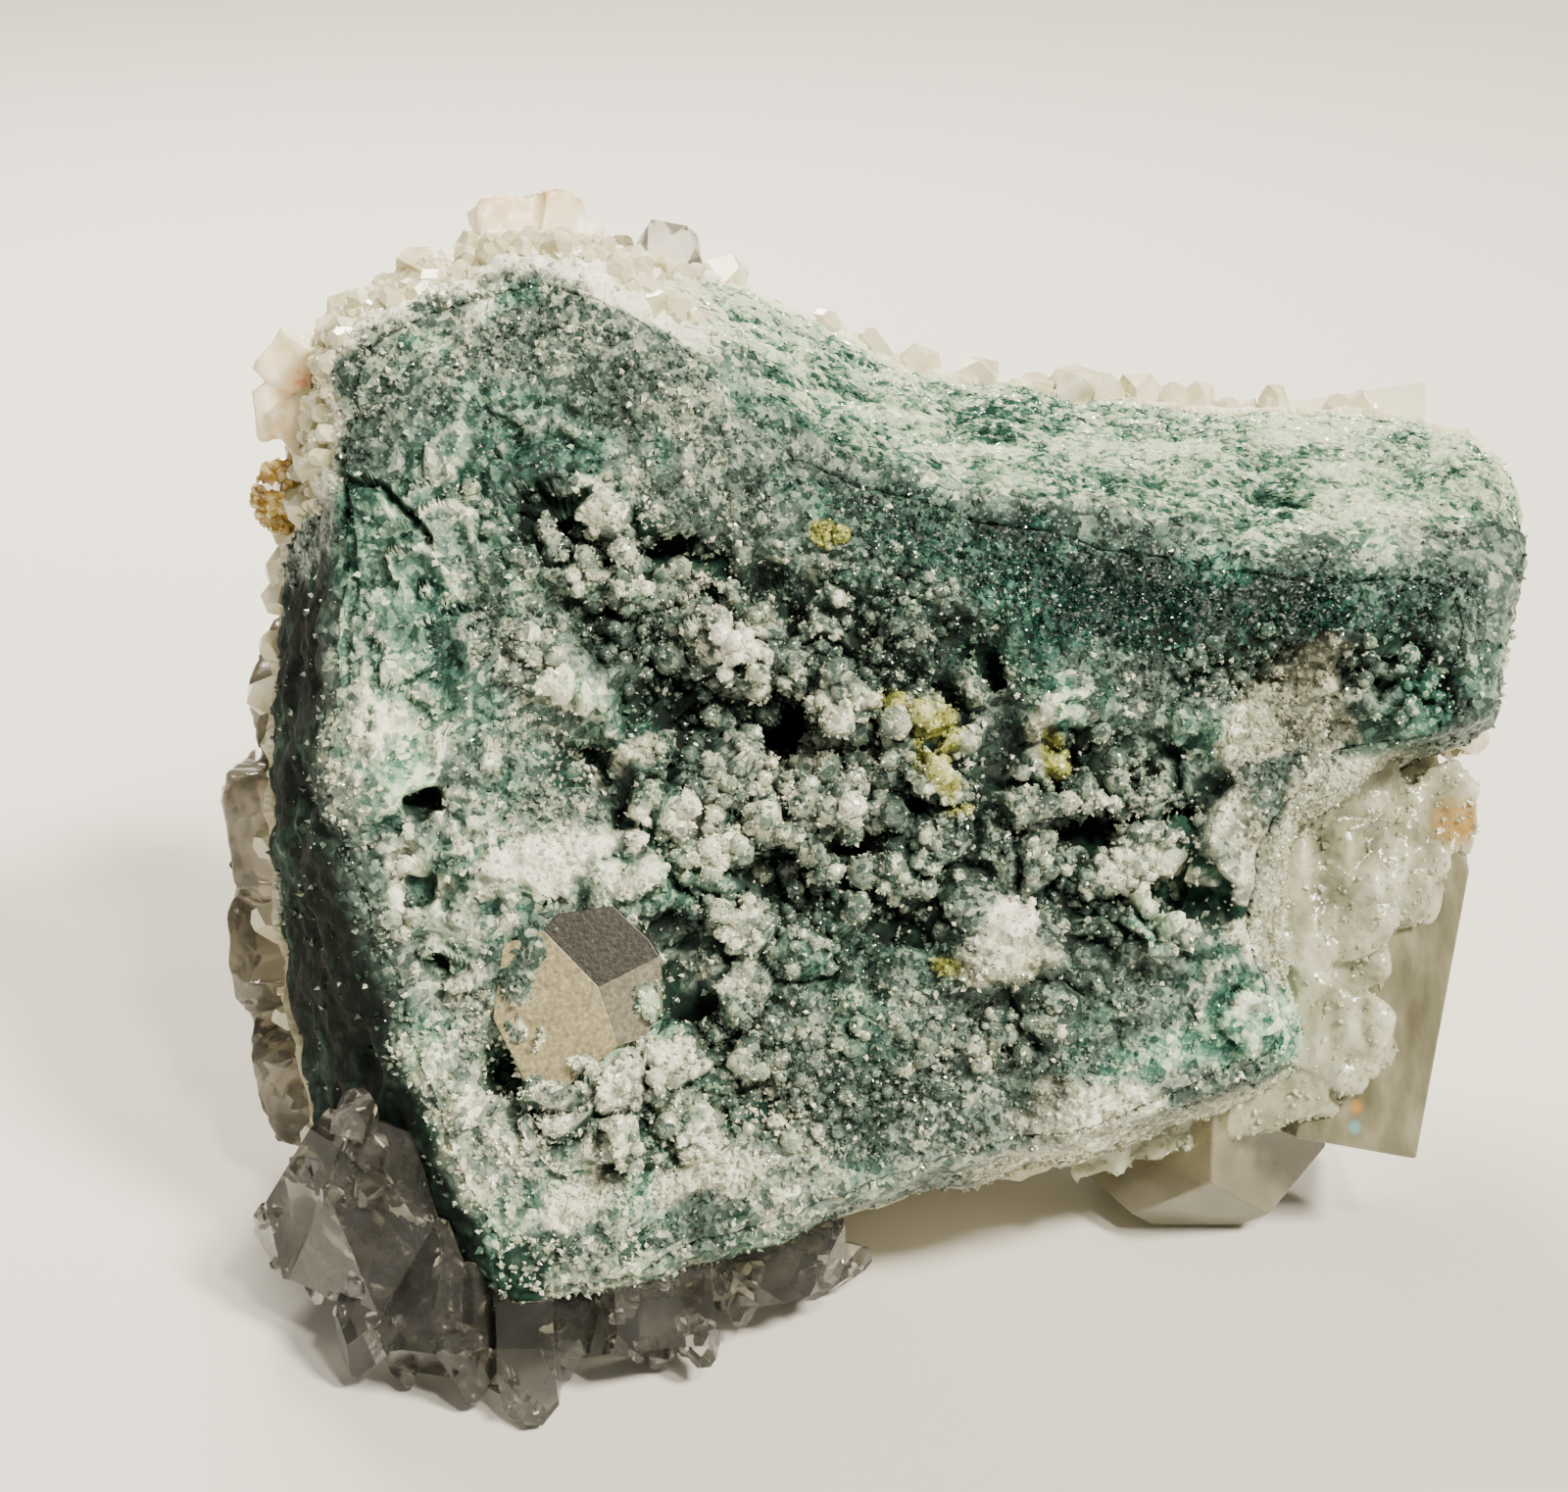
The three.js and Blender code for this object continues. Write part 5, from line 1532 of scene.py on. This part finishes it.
class SPECIMEN_OT_grains(bpy.types.Operator):
    """Scatters the small glinting quartz crystals over the rock, and the flakes over its top band"""
    bl_idname = "specimen.grains"
    bl_label = "Quartz grains"

    def execute(self, context):
        sizes = context.scene.specimen_sizes
        colours = context.scene.specimen_colours
        random = np.random.default_rng(23)

        def density(place, s):
            clumps = 0.35 + 0.65 * smooth(layered_noise(place, 6.0, 3), -0.6, 0.6)
            return ((0.15 + front_share(s)) * clumps * (1 - 0.6 * left_side(place, s))
                    * (1 - 0.2 * top_band(place, s))
                    * (1 - 0.65 * patch_share(place, s, PLATE_PATCHES, 0.15, 0.6))
                    * (1 - inset_share(place, s, 5.5, 6.5, 0.5)) * (1 - 0.9 * milky_share(place, s)))

        u, s = spread(random, sizes.grain_count, (0.01, 2.0), density)
        piece = add_grains("quartz_grains", random, sizes.grain_size, *rock_skin(u, s),
                           quartz_druse(colours, "quartz_grains", 0.1))
        ride_root(piece, "green_rock")
        u, s = spread(random, BAND_FLAKES, (0.6, 2.1), top_band)
        place, normal, looks = rock_skin(u, s)
        along = rock_surface(u + 0.02, s) - rock_surface(u - 0.02, s)
        along += 0.15 * random.normal(size=place.shape)
        along -= normal * (along * normal).sum(-1, keepdims=True)
        along /= np.linalg.norm(along, axis=-1, keepdims=True)
        frames = np.stack([along, np.cross(normal, along), normal], -1)
        stretch = np.array([0.75, 0.2, 0.22]) * (0.5 + 0.9 * random.random((BAND_FLAKES, 3)))
        # The flakes are made lighter on the whole, partly as painted glints along the top band
        looks[:, TONE] += 0.5 * random.random(BAND_FLAKES) - 0.08
        piece = small_copies("band_flakes", GRAIN, place, frames, stretch,
                             quartz_druse(colours, "band_quartz", 0.09), looks)
        ride_root(piece, "green_rock")
        return {"FINISHED"}


class SPECIMEN_OT_inset(bpy.types.Operator):
    """Sets the flat beige crystal with its darker facets into the front face"""
    bl_idname = "specimen.inset"
    bl_label = "Inset crystal"

    def execute(self, context):
        corner_x, corner_z = INSET_CRYSTAL["corner"]
        for kind, (outline, fall, stops) in INSET_FACES.items():
            name = f"inset_{kind}_face"
            x, z = np.transpose(outline)
            proud = INSET_CRYSTAL["proud"] + fall[0] * (x - corner_x) + fall[1] * (z - corner_z)
            face = np.stack([x, front_depth(x, z) - proud, z], -1)
            foot = face + [0, INSET_CRYSTAL["depth"], 0]
            piece = placed(name, hull_mesh(name, [standing(np.concatenate([face, foot]))]),
                           flat_crystal_face(f"{kind}_crystal_face", stops))
            ride_root(bevelled(piece, 0.06), "smoky_apophyllite")
        return {"FINISHED"}


class SPECIMEN_OT_crust(bpy.types.Operator):
    """Makes the crust's skin in place of the plain solid"""
    bl_idname = "specimen.crust"
    bl_label = "Crust"

    def execute(self, context):
        outer_lines = np.concatenate([
            np.linspace(CRUST["start"], BACK_EDGE, CRUST_RIM_LINES, endpoint=False),
            np.linspace(BACK_EDGE, BACK_MIDDLE - 0.03, CRUST_BACK_LINES)])
        around = np.arange(CRUST_COLUMNS) * STATIONS / CRUST_COLUMNS
        outer, _, looks = crust_skin(*np.meshgrid(around, outer_lines))
        inner = rock_surface(*np.meshgrid(around, CRUST_INNER_LINES), 0.1)
        place = np.concatenate([inner, outer])
        poles = np.stack([inner[0].mean(0), outer[-1].mean(0)])
        looks = np.concatenate([np.repeat(looks[:1], len(inner), 0), looks]).reshape(-1, 5)
        piece = add_object("crust_skin", standing(np.concatenate([place.reshape(-1, 3), poles])),
                           closed_faces(len(place), CRUST_COLUMNS),
                           drusy_crust(context.scene.specimen_colours), True,
                           np.concatenate([looks, looks[:1], looks[-1:]]))
        ride_root(piece, "cream_crust", "crust")
        return {"FINISHED"}


class SPECIMEN_OT_crust_crystals(bpy.types.Operator):
    """Grows the small crystals on the crust and along its rim, and the pile of golden grains"""
    bl_idname = "specimen.crust_crystals"
    bl_label = "Crust crystals"

    def execute(self, context):
        random = np.random.default_rng(37)
        count = context.scene.specimen_sizes.druse_count

        def density(place, s):
            x, z = place[..., 0], place[..., 2]
            rim = 1 - smooth(s, 2.2, 2.5)
            corner = np.exp(-(((x + 32) / 10) ** 2 + ((z - 36) / 8) ** 2))
            golden = np.hypot(x + 43, z - 21.5) < 3.5
            under = smooth(-z, 28, 32) * smooth(x, 0, 6) * rim
            return (0.6 + 0.8 * rim + 3 * corner) * (1 - golden) * (1 - under)

        def by_shoulder(place, s):
            return shoulder(place, s) * smooth(s, 1.1, 1.3)

        u, s = spread(random, count, (CRUST["start"] + 0.06, 3.95), density)
        on_crust = crust_skin(u, s)
        u, s = spread(random, SHOULDER_CRYSTALS, (1.05, CRUST["start"]), by_shoulder)
        on_shoulder = rock_skin(u, s)
        lump_x, lump_width = np.transpose(TOP_LUMPS)
        lump_u = np.interp(lump_x, ROCK_OUTLINE[8:12, 2], [8, 9, 10, 11])
        on_top = crust_skin(lump_u, np.full(len(lump_x), 2.25))
        place, normal, looks = (np.concatenate(parts) for parts in zip(on_crust, on_shoulder, on_top))
        width = np.concatenate([0.7 + 2.6 * random.random(count) ** 4,
                                0.5 + 1.4 * random.random(SHOULDER_CRYSTALS) ** 3, lump_width])
        lean = normal + 0.45 * random.normal(size=normal.shape)
        length = width * (0.6 + 0.5 * random.random(len(width)))
        frames = frames_along(lean, random.random(len(width)))
        kinds = (("milky", "cream_crust", 0.5, drusy_crystal(context.scene.specimen_colours)),
                 ("clear", "clear_apophyllite", 0.25, clear_crystal("small_apophyllite")))
        for number, (kind, slot, taper, material) in enumerate(kinds):
            mine = slice(number, None, len(kinds))
            piece = small_copies(f"crust_crystals_{kind}", crystal_template(taper), place[mine],
                                 frames[mine], np.stack([width, width, length], -1)[mine], material,
                                 looks[mine])
            ride_root(piece, slot)

        way = random.normal(size=(GOLDEN_PILE["count"], 3))
        way /= np.linalg.norm(way, axis=-1, keepdims=True)
        width = 0.6 + 0.6 * random.random(len(way))
        frames = leaning_frames(random, way, 0.4)
        piece = small_copies("golden_grains", crystal_template(0.3),
                             np.array(GOLDEN_PILE["middle"]) + way * GOLDEN_PILE["reach"], frames,
                             np.stack([width, width, width * 1.3], -1), golden_crystal())
        ride_root(piece, "golden_calcite")
        return {"FINISHED"}


def sugar_grains(random, mass):
    """Fine quartz on the milky mass, and on the rock where milky quartz grows over it."""
    place, normal = surface_places(mass, random, SUGAR["on_mass"])
    u, s = spread(random, SUGAR["on_rock"], (0.3, 2.0),
                  lambda p, s: milky_share(p, s) * (1 - 0.7 * smooth(-p[..., 2], 22, 27))
                  * (1 - 0.6 * smooth(p[..., 2], 0, 4)))
    rock_place, rock_normal, _ = rock_skin(u, s)
    here = standing(rock_place) / MM
    place = np.concatenate([place, here])
    normal = np.concatenate([normal, standing(rock_place + rock_normal) / MM - here])
    count = len(place)
    half = 0.12 + 0.26 * random.random(count) ** 3
    frames = leaning_frames(random, normal, 0.6)
    stretch = half[:, None] * (0.8 + 0.4 * random.random((count, 3)))
    looks = np.zeros((count, 5))
    looks[:, TONE] = 0.4 + 0.3 * random.random(count) + 0.25 * layered_noise(place, 5.0, 2)
    return small_copies("milky_sugar", GRAIN, place, frames, stretch, milky_quartz("sugary_quartz", 0.4),
                        looks, settle=above_ground)


class SPECIMEN_OT_milky_masses(bpy.types.Operator):
    """Makes the milky mass with its prism and foot at the right, the corner cluster and the left ridge"""
    bl_idname = "specimen.milky_masses"
    bl_label = "Milky masses"

    def execute(self, context):
        random = np.random.default_rng(53)
        mass = weathered("milky_mass", crystals_mesh("milky_mass", MILKY_BLOCKS), 0.36, 1, lumpy,
                         milky_quartz("milky_quartz_mass", 0.35, IRON_STAIN))
        ride_root(mass, "milky_apophyllite", "right_crystals")
        ride_root(sugar_grains(random, mass), "milky_apophyllite")
        prism = placed("right_prism", crystals_mesh("right_prism", [RIGHT_PRISM]), striated_prism())
        ride_root(bevelled(prism, 0.25), "milky_apophyllite", "right_crystals")
        foot = placed("right_foot", crystals_mesh("right_foot", [RIGHT_FOOT]), clear_crystal("olive_foot"))
        ride_root(bevelled(foot, 0.2), "milky_apophyllite", "right_crystals")

        corner = grown_copy("corner_cluster", clear_crystal("smoky_and_shaded_quartz"), 0.16)
        ride_root(corner, "clear_apophyllite", "corner_cluster")
        place, normal = surface_places(corner, random, CORNER_CRYSTALS, 1.5)
        piece = small_crystals("corner_crystals", random, place - 0.5 * normal, normal + [0, 0, -0.35],
                               0.9 + 2.2 * random.random(CORNER_CRYSTALS) ** 3, 0.25,
                               clear_crystal("clear_points"))
        ride_root(piece, "clear_apophyllite")

        ridge = weathered("left_ridge", crystals_mesh("left_ridge", LEFT_RIDGE), 0.45, 4, worn,
                          clear_crystal("brown_smoky_apophyllite"))
        ride_root(ridge, "smoky_apophyllite", "left_crystals")
        place, normal = surface_places(ridge, random, RIDGE_CRYSTALS)
        piece = small_crystals("left_ridge_crystals", random, place - 0.4 * normal, normal,
                               0.7 + 1.5 * random.random(RIDGE_CRYSTALS) ** 3, 0.3,
                               clear_crystal("brown_points"))
        ride_root(piece, "smoky_apophyllite")
        return {"FINISHED"}


class SPECIMEN_OT_large_crystals(bpy.types.Operator):
    """Gives the other large crystals, blades and blocks their edges and finishes"""
    bl_idname = "specimen.large_crystals"
    bl_label = "Large crystals"

    def execute(self, context):
        finishes = {
            "clear_apophyllite": clear_crystal("clear_apophyllite"),
            "milky_apophyllite": clear_crystal("milky_apophyllite"),
            "cream_stilbite": pearly_blades(),
            "golden_calcite": golden_crystal(),
        }
        made = {"rock", "crust", "right_crystals", "corner_cluster", "left_crystals"}
        for part in frame["record"]["subparts"]:
            node, slot = part["node"], part["material_slot"]
            if node in made:
                continue
            if slot == "cream_stilbite":
                piece = weathered(node + "_grown", whole_faces(node), 0.3, 2, ribbed, finishes[slot])
            else:
                piece = grown_copy(node, finishes[slot], 0.14)
            if node == "top_plate":
                slant(piece.data, 2.2)
            ride_root(piece, slot, node)
        return {"FINISHED"}


def add_light(name, kind, place, size, power):
    """A soft light turned to the specimen's middle."""
    data = bpy.data.lights.new(name, kind)
    if kind == "SUN":
        data.angle = size
    else:
        data.size = size
    data.energy = power
    data.color = linear(LIGHT_COLOUR)[:3]
    light = bpy.data.objects.new(name, data)
    light.location = place
    x, y, z = np.array(LIT_PLACE) - np.array(place)
    light.rotation_euler = (math.atan2(math.hypot(x, y), -z), 0, math.atan2(-x, y))
    bpy.context.scene.collection.objects.link(light)


def add_camera():
    """The camera looks along the view's own y axis, framed as the photograph is."""
    data = bpy.data.cameras.new("camera")
    data.sensor_fit = "HORIZONTAL"
    data.sensor_width = 36.0
    data.lens = data.sensor_width * CAMERA["focal_share"]
    data.clip_start = 0.01
    camera = bpy.data.objects.new("camera", data)
    camera.location = standing([0.0, -CAMERA["distance"], 0.0])
    camera.rotation_euler = (math.pi / 2 - LEAN, 0, 0)
    bpy.context.scene.collection.objects.link(camera)
    bpy.context.scene.camera = camera


class SPECIMEN_OT_stage(bpy.types.Operator):
    """Adds the floor, the lights and the camera"""
    bl_idname = "specimen.stage"
    bl_label = "Stage"

    def execute(self, context):
        corners = FLOOR_HALF * np.array([[-1, -1, 0], [1, -1, 0], [1, 1, 0], [-1, 1, 0]])
        floor = add_object("floor", corners, [np.array([[0, 1, 2, 3]])],
                           matt_paper(context.scene.specimen_colours), False)
        for name, values in LIGHTS.items():
            add_light(name, *values)
        world = bpy.data.worlds.new("studio")
        world.use_nodes = True
        background = world.node_tree.nodes["Background"].inputs
        hue, strength = SURROUNDINGS
        background["Color"].default_value = linear(hue)
        background["Strength"].default_value = strength
        context.scene.world = world
        add_camera()
        return {"FINISHED"}


class SPECIMEN_PT_panel(bpy.types.Panel):
    """Lists the specimen's pieces in the sidebar"""
    bl_label = "Specimen"
    bl_idname = "SPECIMEN_PT_panel"
    bl_space_type = "VIEW_3D"
    bl_region_type = "UI"
    bl_category = "Specimen"

    def draw(self, context):
        for group in (context.scene.specimen_sizes, context.scene.specimen_colours):
            for key in group.__annotations__:
                self.layout.prop(group, key)
        for operator in STEPS:
            self.layout.operator(operator.bl_idname)


STEPS = (SPECIMEN_OT_rock, SPECIMEN_OT_balls, SPECIMEN_OT_grains, SPECIMEN_OT_inset,
         SPECIMEN_OT_crust, SPECIMEN_OT_crust_crystals, SPECIMEN_OT_milky_masses,
         SPECIMEN_OT_large_crystals, SPECIMEN_OT_stage)
CLASSES = (SpecimenSizes, SpecimenColours, *STEPS, SPECIMEN_PT_panel)


def register():
    for cls in CLASSES:
        bpy.utils.register_class(cls)
    bpy.types.Scene.specimen_sizes = bpy.props.PointerProperty(type=SpecimenSizes)
    bpy.types.Scene.specimen_colours = bpy.props.PointerProperty(type=SpecimenColours)


def unregister():
    del bpy.types.Scene.specimen_colours
    del bpy.types.Scene.specimen_sizes
    for cls in reversed(CLASSES):
        bpy.utils.unregister_class(cls)


def main():
    register()
    bpy.ops.specimen.rock()
    bpy.ops.specimen.balls()
    bpy.ops.specimen.grains()
    bpy.ops.specimen.inset()
    bpy.ops.specimen.crust()
    bpy.ops.specimen.crust_crystals()
    bpy.ops.specimen.milky_masses()
    bpy.ops.specimen.large_crystals()
    bpy.ops.specimen.stage()


if __name__ == "__main__":
    main()
